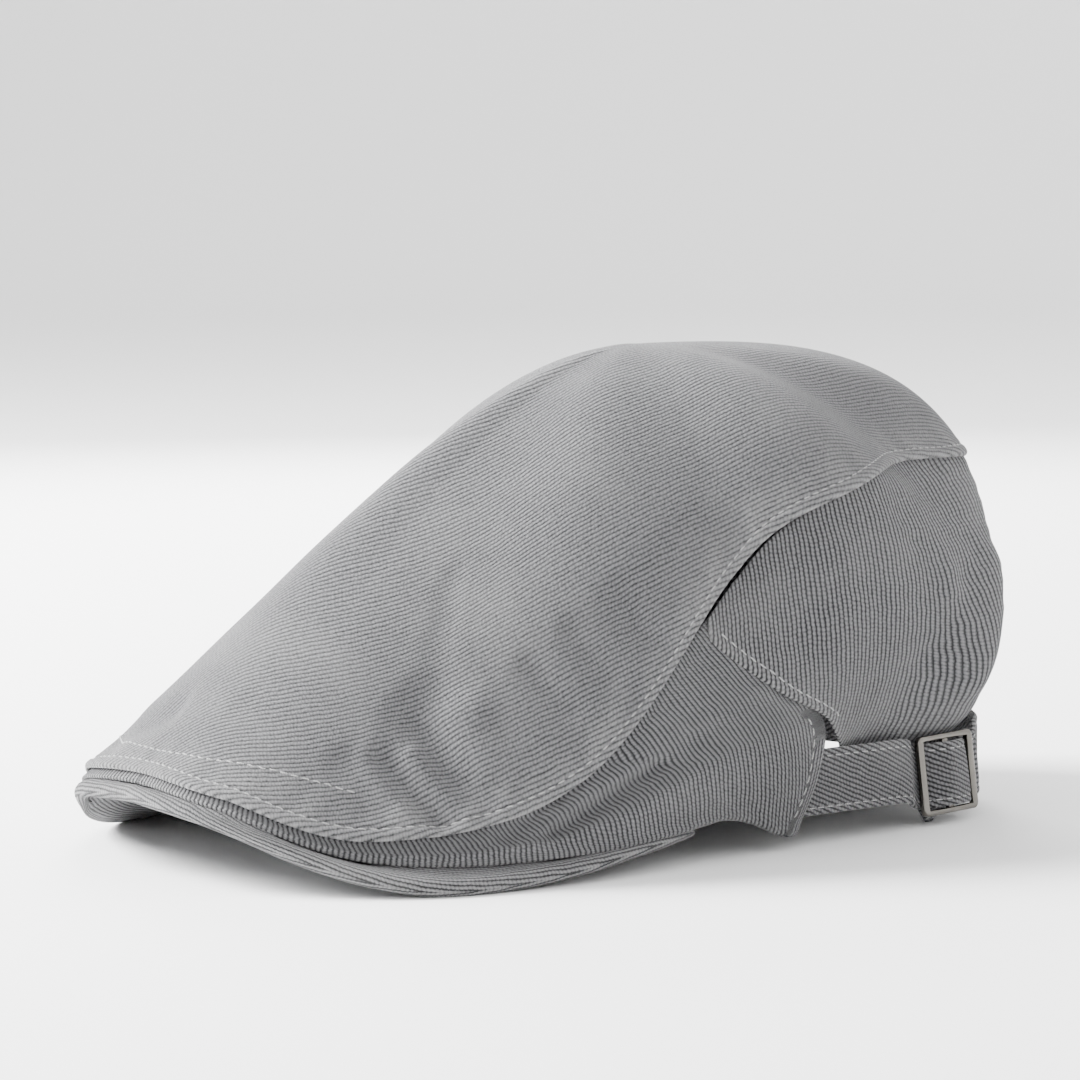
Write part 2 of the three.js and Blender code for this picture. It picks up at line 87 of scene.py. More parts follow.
# Half of the peak, from its tip to its end beside the crown, in shares of its half width, its reach
# and its rise. angle is where the crown's lower edge lies on it.
PEAK = {
    "angle": (0, 17, 32, 46, 56, 66, 75, 81.5),
    "rim_across": (0, 0.3, 0.6, 0.82, 0.94, 1, 1, 0.97),
    "rim_along": (0.99, 0.98, 0.885, 0.77, 0.65, 0.45, 0.27, 0.15),
    "rim_z": (0.61, 0.53, 0.29, 0.085, 0.02, 0.08, 0.2, 0.25),
    "root_across": (0, 0.17, 0.33, 0.48, 0.62, 0.75, 0.84, 0.88),
    "root_along": (0.59, 0.58, 0.55, 0.5, 0.43, 0.34, 0.235, 0.14),
    "root_z": (0.86, 0.84, 0.76, 0.62, 0.46, 0.34, 0.29, 0.26),
}

# A fold runs from one place on the crown to another. z and width are shares of the crown's height, and
# rise is in thicknesses of the cloth.
Fold = namedtuple("Fold", "angle z to_angle to_z width rise")

# Folds that the solids have too.
FOLDS = (
    Fold(143, 0.52, 130, 0.32, 0.09, 1.6),
    Fold(150, 0.46, 139, 0.28, 0.07, -1.6),
    Fold(120, 0.66, 118, 0.3, 0.09, -1),
    Fold(104, 0.6, 102, 0.34, 0.08, 0.9),
    Fold(44, 0.33, 54, 0.17, 0.075, -1.5),
    Fold(53, 0.33, 61, 0.24, 0.06, 1),
    Fold(66, 0.09, 81, 0.24, 0.05, -1.2),
    Fold(75, 0.48, 88, 0.62, 0.1, -1.1),
    Fold(-22, 0.23, -4, 0.31, 0.06, -1.1),
    Fold(-50, 0.3, -58, 0.2, 0.08, -1.3),
    Fold(-78, 0.5, -90, 0.66, 0.1, -1),
    Fold(-136, 0.56, -128, 0.32, 0.09, -1.4),
)

# Smaller creases that the cloth alone takes.
CREASES = (
    Fold(41, 0.25, 52, 0.12, 0.026, -1.7),
    Fold(45.5, 0.25, 54.5, 0.14, 0.026, 1.2),
    Fold(44.5, 0.31, 53, 0.2, 0.03, -0.9),
    Fold(49, 0.32, 56.5, 0.21, 0.028, 0.6),
    Fold(36, 0.24, 43, 0.15, 0.035, -0.7),
    Fold(15, 0.33, 36, 0.22, 0.05, -0.4),
    Fold(56, 0.3, 61, 0.24, 0.035, -1),
    Fold(60, 0.4, 66, 0.32, 0.035, -1),
    Fold(66, 0.47, 71, 0.38, 0.035, -0.9),
    Fold(73, 0.54, 77, 0.44, 0.035, -0.9),
    Fold(41, 0.56, 46, 0.38, 0.05, -0.35),
    Fold(65, 0.1, 77, 0.21, 0.024, -1.8),
    Fold(64.5, 0.13, 75, 0.22, 0.026, 0.9),
    Fold(60, 0.1, 65, 0.16, 0.03, -1.2),
    Fold(-20, 0.226, -4.8, 0.305, 0.035, -0.5),
    Fold(131, 0.52, 119, 0.36, 0.05, -0.7),
)

# Where the bands thread the buckle, in millimetres from its middle: along towards the back, out away
# from the head and up. tilt and lean turn the band, in degrees.
Station = namedtuple("Station", "along out up tilt lean")
LOOP = (
    Station(-17, 0.1, 2.4, 0, 2),
    Station(-13.8, -1.7, 1, 0, 6),
    Station(-10.6, -2.4, 0, 0, 7),
    Station(-7.6, -1.9, 0, 0, 7),
    Station(-4, 0.8, 0, 0, 7),
    Station(-1.5, 2.3, 0, 0, 7),
    Station(1.2, 2.4, 0, 0, 7),
    Station(4.4, 2, 0, 0, 7),
    Station(6.9, 0.9, 0, 0, 7),
    Station(7.5, -0.7, 0, 0, 7),
    Station(6, -2.2, 0, 0, 7),
    Station(3.2, -2.6, 0, 0, 7),
)
TAIL = (
    Station(-8.4, -5.4, -7, 36, 7),
    Station(-3.5, -5.5, -4.2, 32, 7),
    Station(1.5, -5.5, -1.8, 24, 7),
    Station(6, -5.3, -0.4, 12, 7),
    Station(9.4, -3.9, 0, 4, 7),
    Station(12.4, -2.6, 0.2, 0, 7),
    Station(15.4, -2.4, 1.4, 0, 5),
)


def length(name, description, default):
    """A size that is shown in the panel."""
    return FloatProperty(name=name, description=description, default=default, unit="LENGTH", precision=4)


def colour(name, description, default):
    """A colour that is shown in the panel, from its sRGB hex value."""
    return FloatVectorProperty(
        name=name, description=description, default=linear(default), subtype="COLOR", size=3, min=0, max=1
    )


def linear(hex_value):
    """Linear red, green and blue of an sRGB hex value."""
    channels = [int(hex_value[i : i + 2], 16) / 255 for i in (1, 3, 5)]
    return tuple(c / 12.92 if c <= 0.04045 else ((c + 0.055) / 1.055) ** 2.4 for c in channels)


class CapSizes(bpy.types.PropertyGroup):
    crown_half_width: length("Crown half width", "Half of the crown's width at its foot", 82 * MM)
    crown_front: length("Crown front", "Reach of the crown to the front", 142 * MM)
    crown_back: length("Crown back", "Reach of the crown to the back", 113 * MM)
    crown_height: length("Crown height", "Height of the apex over the foot line", 127.5 * MM)
    apex_behind: length("Apex behind centre", "How far the apex lies behind the crown's centre", 22 * MM)
    cloth: length("Cloth", "Thickness of the cloth with its turned edge", 1.3 * MM)
    gap: length("Seam gap", "Gap between lapped pieces", 0.3 * MM)
    allowance: length("Seam allowance", "How far the panels reach under the top panel", 5 * MM)
    edge_stitch: length("Edge stitch", "Distance of the edge stitching from the edge", 3.5 * MM)
    stitch: length("Stitch", "Length of one stitch", 2.5 * MM)
    thread: length("Thread", "Thickness of the sewing thread", 0.42 * MM)
    corner_drop: length("Corner drop", "How far the left rear corner hangs", 10.5 * MM)
    corner_drop_right: length("Right corner drop", "How far the right rear corner hangs", 14.5 * MM)
    corner_flare: length("Corner flare", "How far the rear corners stand out", 3.4 * MM)
    peak_half_width: length("Peak half width", "Half of the peak's width", 85 * MM)
    peak_front: length("Peak front", "Reach of the peak to the front", 144 * MM)
    peak_rise: length("Peak rise", "Height of the peak's arch", 33 * MM)
    peak_thickness: length("Peak thickness", "Board and covers together", 4.2 * MM)
    peak_end: length("Peak end thickness", "Thickness at the peak's two ends", 2.4 * MM)
    strap_width: length("Strap width", "Width of the rear strap", 17.5 * MM)
    strap_thickness: length("Strap thickness", "Two folds of cloth together", 1.8 * MM)
    strap_inset: length("Strap inset", "Strap inside the crown's half width", 6.6 * MM)
    strap_behind: length("Strap behind", "Strap behind the crown's back", 1 * MM)
    strap_centre: length("Strap centre", "Where the strap's bend starts, behind the crown's centre", 31 * MM)
    strap_height: length("Strap height", "Height of the strap's middle", 16 * MM)
    buckle_length: length("Buckle length", "Outer length of the slide buckle", 23.5 * MM)
    buckle_height: length("Buckle height", "Outer height of the slide buckle", 21.7 * MM)
    buckle_thickness: length("Buckle thickness", "Thickness of the buckle's frame", 1.8 * MM)
    buckle_bar: length("Buckle bar", "Width of the buckle's upright bars", 2.4 * MM)
    buckle_rail: length("Buckle rail", "Width of the buckle's upper and lower rails", 1.6 * MM)
    buckle_inset: length("Buckle inset", "Buckle inside the strap's half width", 5.4 * MM)
    buckle_back: length("Buckle place", "How far the buckle lies behind the crown's centre", 73 * MM)
    buckle_drop: length("Buckle drop", "Buckle below the strap's middle", 3 * MM)
    lift: length("Lift", "Height of the foot line over the floor, with the peak pressed flat", 0.54 * MM)


class CapColours(bpy.types.PropertyGroup):
    twill: colour("Twill", "Washed grey cotton on its ribs", "#757577")
    # The grooves' colour is painted shade: the cloth between the ribs is darkened for the shadow that lies
    # there.
    twill_groove_shade: colour("Twill grooves", "Grey cotton between the ribs", "#262628")
    twill_worn: colour("Worn edges", "Cotton rubbed lighter along its edges", "#979796")
    thread: colour("Thread", "Grey sewing thread", "#b0b0af")
    metal: colour("Buckle", "Dark plated steel", "#77746f")
    floor: colour("Floor", "Pale studio floor", "#fafafa")


# The strap's way round the back is a superellipse of this power, which starts and ends this many
# degrees before its sides. The buckle is turned and leans with the strap, in degrees.
SQUARENESS = 2.5
STRAP_START = -12
BUCKLE_YAW = 11
BUCKLE_LEAN = 7


def smooth(x):
    x = np.clip(x, 0, 1)
    return x * x * (3 - 2 * x)


def bell(x, middle, width):
    """A bump of height 1 round a middle."""
    return np.exp(-(((x - middle) / width) ** 2))


def rubbed(distance, most, reach):
    """Wear that is most at an edge and fades away from it."""
    return most * np.exp(-distance / reach)


def along(values, position, mirrored=True, odd=False):
    """Smooth value at a position in steps along a row of values, mirrored or run on past its ends."""
    values = np.asarray(values, float)
    last = len(values) - 1
    position = np.clip(np.asarray(position, float), 0, last)
    low = np.minimum(position.astype(int), last - 1)
    t = position - low

    def entry(k):
        if mirrored:
            inside = np.where(k < 0, -k, np.where(k > last, 2 * last - k, k))
            return np.where((k < 0) & odd, -1.0, 1.0) * values[inside]
        grown = np.concatenate(([2 * values[0] - values[1]], values, [2 * values[-1] - values[-2]]))
        return grown[k + 1]

    a, b, c, d = (entry(low + step) for step in (-1, 0, 1, 2))
    bend = 2 * a - 5 * b + 4 * c - d
    twist = 3 * b - a - 3 * c + d
    return 0.5 * (2 * b + (c - a) * t + bend * t**2 + twist * t**3)


def crown_value(name, angle):
    """A column of the crown's table at an angle, the same on both sides."""
    return along(CROWN[name], np.abs((np.asarray(angle) + 180) % 360 - 180) / CROWN_ROW_ANGLE)


def crown_point(cap, angle, climb):
    """A place on the crown: each profile is a cubic curve from its foot to the apex."""
    angle, climb = np.broadcast_arrays(np.asarray(angle, float), np.asarray(climb, float))
    left = 1 - climb
    weights = (left**3, 3 * left**2 * climb, 3 * left * climb**2, climb**3)
    out = sum(w * crown_value(name, angle) for w, name in zip(weights, ("foot", "bulge", "shoulder")))
    z = weights[0] * crown_value("foot_z", angle) + weights[1] * crown_value("bulge_z", angle)
    z = cap.crown_height * (z + weights[2] + weights[3])
    turn = np.radians(angle)
    reach = np.where(np.cos(turn) > 0, cap.crown_front, cap.crown_back)
    x = out * cap.crown_half_width * np.sin(turn)
    y = weights[3] * cap.apex_behind - out * reach * np.cos(turn)
    return np.stack((x, y, z), -1)


def unit(vectors):
    return vectors / np.maximum(np.linalg.norm(vectors, axis=-1, keepdims=True), 1e-12)


def crown_normal(cap, angle, climb):
    climb = np.minimum(climb, 0.996)
    across = crown_point(cap, angle + 0.5, climb) - crown_point(cap, angle - 0.5, climb)
    up = crown_point(cap, angle, climb + 0.002) - crown_point(cap, angle, climb - 0.002)
    return unit(np.cross(across, up))


def climb_to(cap, angle, z):
    """Share of the climb at which the crown reaches a height."""
    angle, z = np.broadcast_arrays(np.asarray(angle, float), z)
    low, high = np.full(angle.shape, -0.25), np.full(angle.shape, 0.95)
    for _ in range(26):
        middle = (low + high) / 2
        below = crown_point(cap, angle, middle)[..., 2] < z
        low, high = np.where(below, middle, low), np.where(below, high, middle)
    return (low + high) / 2


def seam_z(cap, angle):
    return crown_value("seam_z", angle) * cap.crown_height


def foot_z(cap, angle):
    return crown_value("foot_z", angle) * cap.crown_height


def line_rise(cap, table, angle, z):
    """Height of a table's folds over the plain crown at places on it."""
    angle = (np.asarray(angle) + 180) % 360 - 180
    x, total = np.radians(angle) * cap.crown_half_width, np.zeros(np.broadcast(angle, z).shape)
    for fold in table:
        x0, z0 = math.radians(fold.angle) * cap.crown_half_width, fold.z * cap.crown_height
        dx = math.radians(fold.to_angle) * cap.crown_half_width - x0
        dz = fold.to_z * cap.crown_height - z0
        t = np.clip(((x - x0) * dx + (z - z0) * dz) / (dx * dx + dz * dz), 0, 1)
        away = np.hypot(x - x0 - t * dx, z - z0 - t * dz) / (fold.width * cap.crown_height)
        total = total + fold.rise * cap.cloth * (1 - smooth(away))
    return total


def wander(points, size, seed):
    """Smooth noise, about -1 to 1, with bumps of a given size."""
    shape = points.shape[:-1]
    scaled = (points / size + seed * 17.3).reshape(-1, 3)
    return np.array([noise.noise(p) for p in scaled.tolist()]).reshape(shape)


def forward_shift(cap):
    """How far the crown's own axes lie behind the frame's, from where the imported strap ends."""
    strap_outer = cap.crown_back + cap.strap_behind + cap.strap_thickness / 2
    return max(v[1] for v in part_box("strap_back")) - strap_outer


def settle(cap, points):
    """Moves points from the crown's own axes to the frame's, and flattens what meets the floor."""
    moved = points + np.array((0, forward_shift(cap), cap.lift))
    moved[..., 2] = np.maximum(moved[..., 2], 0)
    return moved


def run_length(points, axis, backwards=False):
    """Length along a grid's lines up to each point, from their start or from their end."""
    steps = np.linalg.norm(np.diff(points, axis=axis), axis=-1)
    zero = np.zeros_like(np.take(steps, [0], axis=axis))
    forward = np.concatenate((zero, np.cumsum(steps, axis=axis)), axis=axis)
    return np.take(forward, [-1], axis=axis) - forward if backwards else forward


def rim_share(distance, radius):
    """Share of the thickness that is left near a rounded edge."""
    return np.sqrt(np.maximum(0, 1 - np.clip(1 - distance / radius, 0, 1) ** 2))


def grid_normals(points, closed=False):
    if closed:
        around = np.roll(points, -1, axis=0) - np.roll(points, 1, axis=0)
    else:
        around = np.gradient(points, axis=0)
    return unit(np.cross(around, np.gradient(points, axis=1)))


def shell(name, outer, inner, cloth, wear, material, closed=False, capped=False, ribs=1.0):
    """A closed mesh between two grids of points, columns first. cloth holds each point's place on the
    flat cloth in millimetres, along its ribs and across them, wear is 0 to 1, and ribs is how clearly
    the ribs of the cloth stand out."""
    columns, rows = outer.shape[:2]
    tall = rows - 1 if capped else rows
    place = np.arange(columns * tall).reshape(columns, tall)
    if closed:
        place = np.concatenate((place, place[:1]))
    a, b, c, d = place[:-1, :-1], place[1:, :-1], place[1:, 1:], place[:-1, 1:]
    upper = np.stack((a, b, c, d), -1).reshape(-1, 4)
    under = columns * tall
    lower = upper[:, ::-1] + under
    borders = [(place[:, 0], 1)]
    if not capped:
        borders.append((place[:, -1], -1))
    if not closed:
        borders += [(place[0], -1), (place[-1], 1)]
    quads = [upper, lower]
    for border, way in borders:
        strip = np.stack((border[:-1], border[:-1] + under, border[1:] + under, border[1:]), -1)
        quads.append(strip[:, ::way])
    faces = np.concatenate(quads).tolist()
    points = [outer[:, :tall].reshape(-1, 3), inner[:, :tall].reshape(-1, 3)]
    flat = [cloth[:, :tall].reshape(-1, 2)] * 2
    worn = [wear[:, :tall].reshape(-1)] * 2
    if capped:
        tip, ring = 2 * under, place[:, -1]
        faces += [(i, j, tip) for i, j in zip(ring[:-1].tolist(), ring[1:].tolist())]
        faces += [(j + under, i + under, tip + 1) for i, j in zip(ring[:-1].tolist(), ring[1:].tolist())]
        points += [outer[0, -1:], inner[0, -1:]]
        flat += [cloth[:, -1].mean(0)[None]] * 2
        worn += [wear[0, -1:]] * 2
    marks = {"wear": np.concatenate(worn), "ribs": np.full(sum(len(p) for p in points), ribs)}
    return make_mesh(name, np.concatenate(points), faces, material, np.concatenate(flat), marks)


def make_mesh(name, points, faces, material, cloth=None, marks=None):
    mesh = bpy.data.meshes.new(name)
    mesh.from_pydata(points.tolist(), [], faces)
    mesh.validate()
    mesh.shade_smooth()
    if cloth is not None:
        corners = np.empty(len(mesh.loops), int)
        mesh.loops.foreach_get("vertex_index", corners)
        mesh.uv_layers.new(name="cloth").data.foreach_set("uv", cloth[corners].ravel())
        for mark, values in marks.items():
            mesh.attributes.new(mark, "FLOAT", "POINT").data.foreach_set("value", values)
    mesh.materials.append(material)
    piece = bpy.data.objects.new(name, mesh)
    bpy.context.scene.collection.objects.link(piece)
    return piece


def seat(piece, slot, *nodes):
    """Puts a piece on the cap and hides the nodes that it stands for; slot, meant for its finish, is not
    used.
    """
    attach(piece, "root")
    if nodes:
        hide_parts(*nodes)


# How far a turned edge stands up, how deep its stitches pull it in, and the radius of a cut edge.
WELT = 0.55 * MM
STITCH_GROOVE = 0.5 * MM
GROOVE_WIDTH = 0.6 * MM
EDGE_RADIUS = 0.9 * MM


def folded_edge(distance, cap):
    """Height of a turned and stitched edge over the cloth behind it."""
    welt = WELT * (1 - smooth((distance - 0.7 * cap.edge_stitch) / (0.9 * cap.edge_stitch)))
    return welt - STITCH_GROOVE * bell(distance, cap.edge_stitch, GROOVE_WIDTH)


# Length from one stitch to the next, in stitches, and the share of it that shows.
STITCH_STEP = 1.22
STITCH_SHOWN = 0.8


def stitches(cap, path, normals, rise=0.12 * MM):
    """A row of stitches along a path on the cloth, each a short thread that dips at both ends."""
    steps = np.linalg.norm(np.diff(path, axis=0), axis=1)
    run = np.concatenate(([0], np.cumsum(steps)))
    count = int(run[-1] / (cap.stitch * STITCH_STEP))
    if count < 1:
        return np.zeros((0, 3)), []
    sides, rings = 6, 6
    points, faces = [], []
    for k in range(count):
        start = (k + 0.11) * run[-1] / count
        marks = start + np.linspace(0, 1, rings) * run[-1] / count * STITCH_SHOWN
        centre = np.stack([np.interp(marks, run, path[:, c]) for c in range(3)], -1)
        normal = unit(np.stack([np.interp(marks, run, normals[:, c]) for c in range(3)], -1))
        way = unit(np.gradient(centre, axis=0))
        side = unit(np.cross(way, normal))
        arch = np.sin(np.linspace(0, 1, rings) * np.pi) ** 0.5
        radius = cap.thread / 2 * (0.45 + 0.55 * arch)
        centre = centre + normal * ((rise + cap.thread * 0.35) * arch - cap.thread * 0.45)[:, None]
        slant = side * (np.linspace(-0.5, 0.5, rings) * 0.22 * MM)[:, None]
        first = len(points) * rings * sides
        ring = []
        for turn in np.arange(sides) * 2 * np.pi / sides:
            ring.append(centre + slant + (side * np.cos(turn) + normal * np.sin(turn)) * radius[:, None])
        points.append(np.stack(ring, 1).reshape(-1, 3))
        for r in range(rings - 1):
            for s in range(sides):
                a, b = first + r * sides + s, first + r * sides + (s + 1) % sides
                faces.append((a, b, b + sides, a + sides))
        faces.append(tuple(first + s for s in reversed(range(sides))))
        faces.append(tuple(first + (rings - 1) * sides + s for s in range(sides)))
    return np.concatenate(points), faces


def thread_piece(name, rows, material):
    """Joins rows of stitches into one piece."""
    rows = [(points, faces) for points, faces in rows if len(points)]
    offset, all_faces = 0, []
    for points, faces in rows:
        all_faces += [tuple(i + offset for i in face) for face in faces]
        offset += len(points)
    seat(make_mesh(name, np.concatenate([points for points, _ in rows]), all_faces, material), "twill")


def columns_at(field, rows, distance):
    """Column at which a length along the grid's rows reaches a distance, for each of some rows."""
    found = []
    for row in rows:
        line = field[:, int(row)]
        order = np.argsort(line)
        found.append(np.interp(distance, line[order], order))
    return np.array(found)


def grid_at(grid, column, row):
    """A point of a grid between its columns and rows."""
    c = np.clip(column, 0, grid.shape[0] - 1.001)
    r = np.clip(row, 0, grid.shape[1] - 1.001)
    i, j = np.floor(c).astype(int), np.floor(r).astype(int)
    u, v = (c - i)[..., None], (r - j)[..., None]
    low = grid[i, j] * (1 - u) + grid[i + 1, j] * u
    high = grid[i, j + 1] * (1 - u) + grid[i + 1, j + 1] * u
    return low * (1 - v) + high * v


def new_tree(name):
    made = bpy.data.materials.new(name)
    made.use_nodes = True
    made.node_tree.nodes.clear()
    return made


def add(made, kind, inputs=None, out=0, **settings):
    """Adds a node to a material with its settings and inputs, and gives back one of its outputs."""
    node = made.node_tree.nodes.new(kind)
    for key, value in settings.items():
        setattr(node, key, value)
    for key, value in (inputs or {}).items():
        if isinstance(value, bpy.types.NodeSocket):
            made.node_tree.links.new(value, node.inputs[key])
        else:
            node.inputs[key].default_value = value
    return node.outputs[out] if node.outputs else None


# Pitch of the twill's ribs and length of the short floats that they are made of, in millimetres.
RIB = 1.2
FLOAT = 1.15

# Sizes of what is uneven in the cloth, in millimetres: the bows of its ribs, its flecks, its fuzz and
# the clouds of its wash. Real fuzz is finer, and is drawn as coarse as it needs to show.
RIB_BOW = 6.25
FLECK = 1.053
FUZZ = 0.3125
WASH = 33.3

# Pitch of the thread's twist, and of a wave texture's diagonal bands at a scale of 1.
TWIST = 0.403 * MM
WAVE_PITCH = 2 * math.pi / (10 * math.sqrt(3))

# Sizes of the buckle's scratches, drawn coarser than they are so that they show, of the clouds in its
# plating, and of the fibres of the floor's paper.
SCRATCH = 0.714 * MM
PLATING_CLOUD = 6.25 * MM
PAPER_FIBRE = 3.33 * MM


def cotton_twill(colours):
    """Heavy cotton twill, piece dyed and washed: rounded diagonal ribs of short floats with painted
    shade in the grooves between them, dull, with a dusting of pale fibre and lighter rubbed edges."""
    m = new_tree("cotton_twill")
    place = add(m, "ShaderNodeUVMap", uv_map="cloth")
    x = add(m, "ShaderNodeSeparateXYZ", {0: place}, out="X")
    y = add(m, "ShaderNodeSeparateXYZ", {0: place}, out="Y")
    flat = {"noise_dimensions": "2D"}
    stray = add(m, "ShaderNodeTexNoise", {"Vector": place, "Scale": 1 / RIB_BOW, "Detail": 3.0}, **flat)
    wobble = add(m, "ShaderNodeMath", {0: stray, 1: 0.55, 2: -0.28}, operation="MULTIPLY_ADD")
    across = add(m, "ShaderNodeMath", {0: y, 1: 1 / RIB, 2: wobble}, operation="MULTIPLY_ADD")
    turn = add(m, "ShaderNodeMath", {0: across, 1: 2 * math.pi}, operation="MULTIPLY")
    wave = add(m, "ShaderNodeMath", {0: turn}, operation="COSINE")
    round_rib = add(m, "ShaderNodeMath", {0: wave, 1: 0.5, 2: 0.5}, operation="MULTIPLY_ADD")
    rib = add(m, "ShaderNodeMath", {0: round_rib, 1: 0.7}, operation="POWER")
    number = add(m, "ShaderNodeMath", {0: across, 1: 0.5}, operation="ADD")
    number = add(m, "ShaderNodeMath", {0: number}, operation="FLOOR")
    step = add(m, "ShaderNodeTexWhiteNoise", {"W": number}, noise_dimensions="1D")
    bent = add(m, "ShaderNodeMath", {0: across, 1: 0.55, 2: step}, operation="MULTIPLY_ADD")
    shifted = add(m, "ShaderNodeMath", {0: x, 1: 1 / FLOAT, 2: bent}, operation="MULTIPLY_ADD")
    floats = add(m, "ShaderNodeMath", {0: shifted, 1: 2 * math.pi}, operation="MULTIPLY")
    floats = add(m, "ShaderNodeMath", {0: floats}, operation="COSINE")
    yarn = add(m, "ShaderNodeMath", {0: floats, 1: 0.2, 2: 0.8}, operation="MULTIPLY_ADD")
    woven = add(m, "ShaderNodeMath", {0: rib, 1: yarn}, operation="MULTIPLY")
    # ribs sets how deep the weave is drawn, in the bump and in the painted groove shade alike.
    ribs = add(m, "ShaderNodeAttribute", out="Fac", attribute_name="ribs")
    woven = add(m, "ShaderNodeMix", {"Factor": ribs, 2: 0.62, 3: woven})
    grain = {"Vector": place, "Detail": 2.0}
    fleck = add(m, "ShaderNodeTexNoise", {**grain, "Scale": 1 / FLECK, "Roughness": 0.6}, **flat)
    fuzz = add(m, "ShaderNodeTexNoise", {**grain, "Scale": 1 / FUZZ, "Roughness": 0.7}, **flat)
    rough = add(m, "ShaderNodeMath", {0: fleck, 1: fuzz}, operation="ADD")
    height = add(m, "ShaderNodeMath", {0: rough, 1: 0.5, 2: woven}, operation="MULTIPLY_ADD")
    # Painted shade: low places of the weave, the grooves between the ribs above all, are mixed towards the
    # dark groove colour, high ones towards the rib colour.
    groove_shade_factor = add(m, "ShaderNodeMapRange", {"Value": height, "From Min": 0.66, "From Max": 1.3})
    deep, top, worn = ((*c, 1.0) for c in (colours.twill_groove_shade, colours.twill, colours.twill_worn))
    base = add(m, "ShaderNodeMix", {"Factor": groove_shade_factor, 6: deep, 7: top}, out=2, data_type="RGBA")
    wash = add(m, "ShaderNodeTexNoise", {"Vector": place, "Scale": 1 / WASH, "Detail": 4.0}, **flat)
    wear = add(m, "ShaderNodeAttribute", out="Fac", attribute_name="wear")
    bared = add(m, "ShaderNodeMath", {0: wear, 1: groove_shade_factor}, operation="MULTIPLY")
    pale = add(m, "ShaderNodeMapRange", {"Value": wash, "From Min": 0.45, "From Max": 0.9, "To Max": 0.2})
    faded = add(m, "ShaderNodeMath", {0: pale, 1: bared}, operation="ADD")
    shade = add(m, "ShaderNodeMix", {"Factor": faded, 6: base, 7: worn}, out=2, data_type="RGBA")
    bump = add(m, "ShaderNodeBump", {"Height": height, "Strength": 1.0, "Distance": 0.65 * MM})
    shader = {"Base Color": shade, "Roughness": 0.92, "Specular IOR Level": 0.2, "Normal": bump}
    shader.update({"Sheen Weight": 0.15, "Sheen Roughness": 0.45})
    add(m, "ShaderNodeOutputMaterial", {"Surface": add(m, "ShaderNodeBsdfPrincipled", shader)})
    return m


def spun_thread(colours):
    """Spun polyester sewing thread: two plies twisted together, with painted shade between the plies, a
    little brighter than the cloth.
    """
    m = new_tree("spun_thread")
    place = add(m, "ShaderNodeTexCoord", out="Object")
    ply = {"Vector": place, "Scale": WAVE_PITCH / TWIST, "Distortion": 2.0}
    ply = add(m, "ShaderNodeTexWave", ply, out="Fac", bands_direction="DIAGONAL")
    # Painted shade: the thread is darkened in the grooves between its plies.
    low = tuple(c * 0.55 for c in colours.thread)
    shades = {"Factor": ply, 6: (*low, 1), 7: (*colours.thread, 1)}
    tint = add(m, "ShaderNodeMix", shades, out=2, data_type="RGBA")
    bump = add(m, "ShaderNodeBump", {"Height": ply, "Strength": 0.4, "Distance": 0.1 * MM})
    shader = {"Base Color": tint, "Roughness": 0.6, "Sheen Weight": 0.1, "Normal": bump}
    add(m, "ShaderNodeOutputMaterial", {"Surface": add(m, "ShaderNodeBsdfPrincipled", shader)})
    return m


def plated_steel(colours):
    """Stamped steel with a dark nickel plating: bright on its edges, with fine tumbling scratches."""
    m = new_tree("plated_steel")
    place = add(m, "ShaderNodeTexCoord", out="Object")
    scratch = add(m, "ShaderNodeTexNoise", {"Vector": place, "Scale": 1 / SCRATCH, "Detail": 3.0})
    cloud = add(m, "ShaderNodeTexNoise", {"Vector": place, "Scale": 1 / PLATING_CLOUD, "Detail": 2.0})
    rough = add(m, "ShaderNodeMapRange", {"Value": cloud, "To Min": 0.16, "To Max": 0.32})
    dark = tuple(c * 0.6 for c in colours.metal)
    shades = {"Factor": cloud, 6: (*dark, 1), 7: (*colours.metal, 1)}
    tint = add(m, "ShaderNodeMix", shades, out=2, data_type="RGBA")
    bump = add(m, "ShaderNodeBump", {"Height": scratch, "Strength": 0.12, "Distance": 0.1 * MM})
    shader = {"Base Color": tint, "Metallic": 1.0, "Roughness": rough, "Normal": bump}
    add(m, "ShaderNodeOutputMaterial", {"Surface": add(m, "ShaderNodeBsdfPrincipled", shader)})
    return m


def studio_paper(colours):
    """Matt background paper, seamless and nearly white."""
    m = new_tree("studio_paper")
    place = add(m, "ShaderNodeTexCoord", out="Object")
    fibre = add(m, "ShaderNodeTexNoise", {"Vector": place, "Scale": 1 / PAPER_FIBRE, "Detail": 3.0})
    bump = add(m, "ShaderNodeBump", {"Height": fibre, "Strength": 0.03, "Distance": 0.2 * MM})
    shader = {"Base Color": (*colours.floor, 1), "Roughness": 0.9, "Specular IOR Level": 0.1, "Normal": bump}
    add(m, "ShaderNodeOutputMaterial", {"Surface": add(m, "ShaderNodeBsdfPrincipled", shader)})
    return m


def material(name, make, context):
    """A finish, made the first time it is asked for."""
    return bpy.data.materials.get(name) or make(context.scene.cap_colours)


def ribs_turned(u, v, degrees):
    """Cloth coordinates along and across ribs that lie at an angle to the u axis, in millimetres."""
    c, s = math.cos(math.radians(degrees)), math.sin(math.radians(degrees))
    return np.stack((u * c + v * s, v * c - u * s), -1) / MM


# Rows of the top panel over its turned edge, in millimetres from the edge.
TOP_EDGE_ROWS = (0, 0.12, 0.4, 0.8, 1.3, 1.9, 2.5, 2.95, 3.25, 3.5, 3.75, 4.1, 4.7, 5.5, 6.5, 7.6, 8.5)
TOP_EDGE_ROWS += (9.1, 9.5, 9.9, 10.5, 11.6, 13)
TOP_COLUMNS = 470
TOP_ROWS = 72

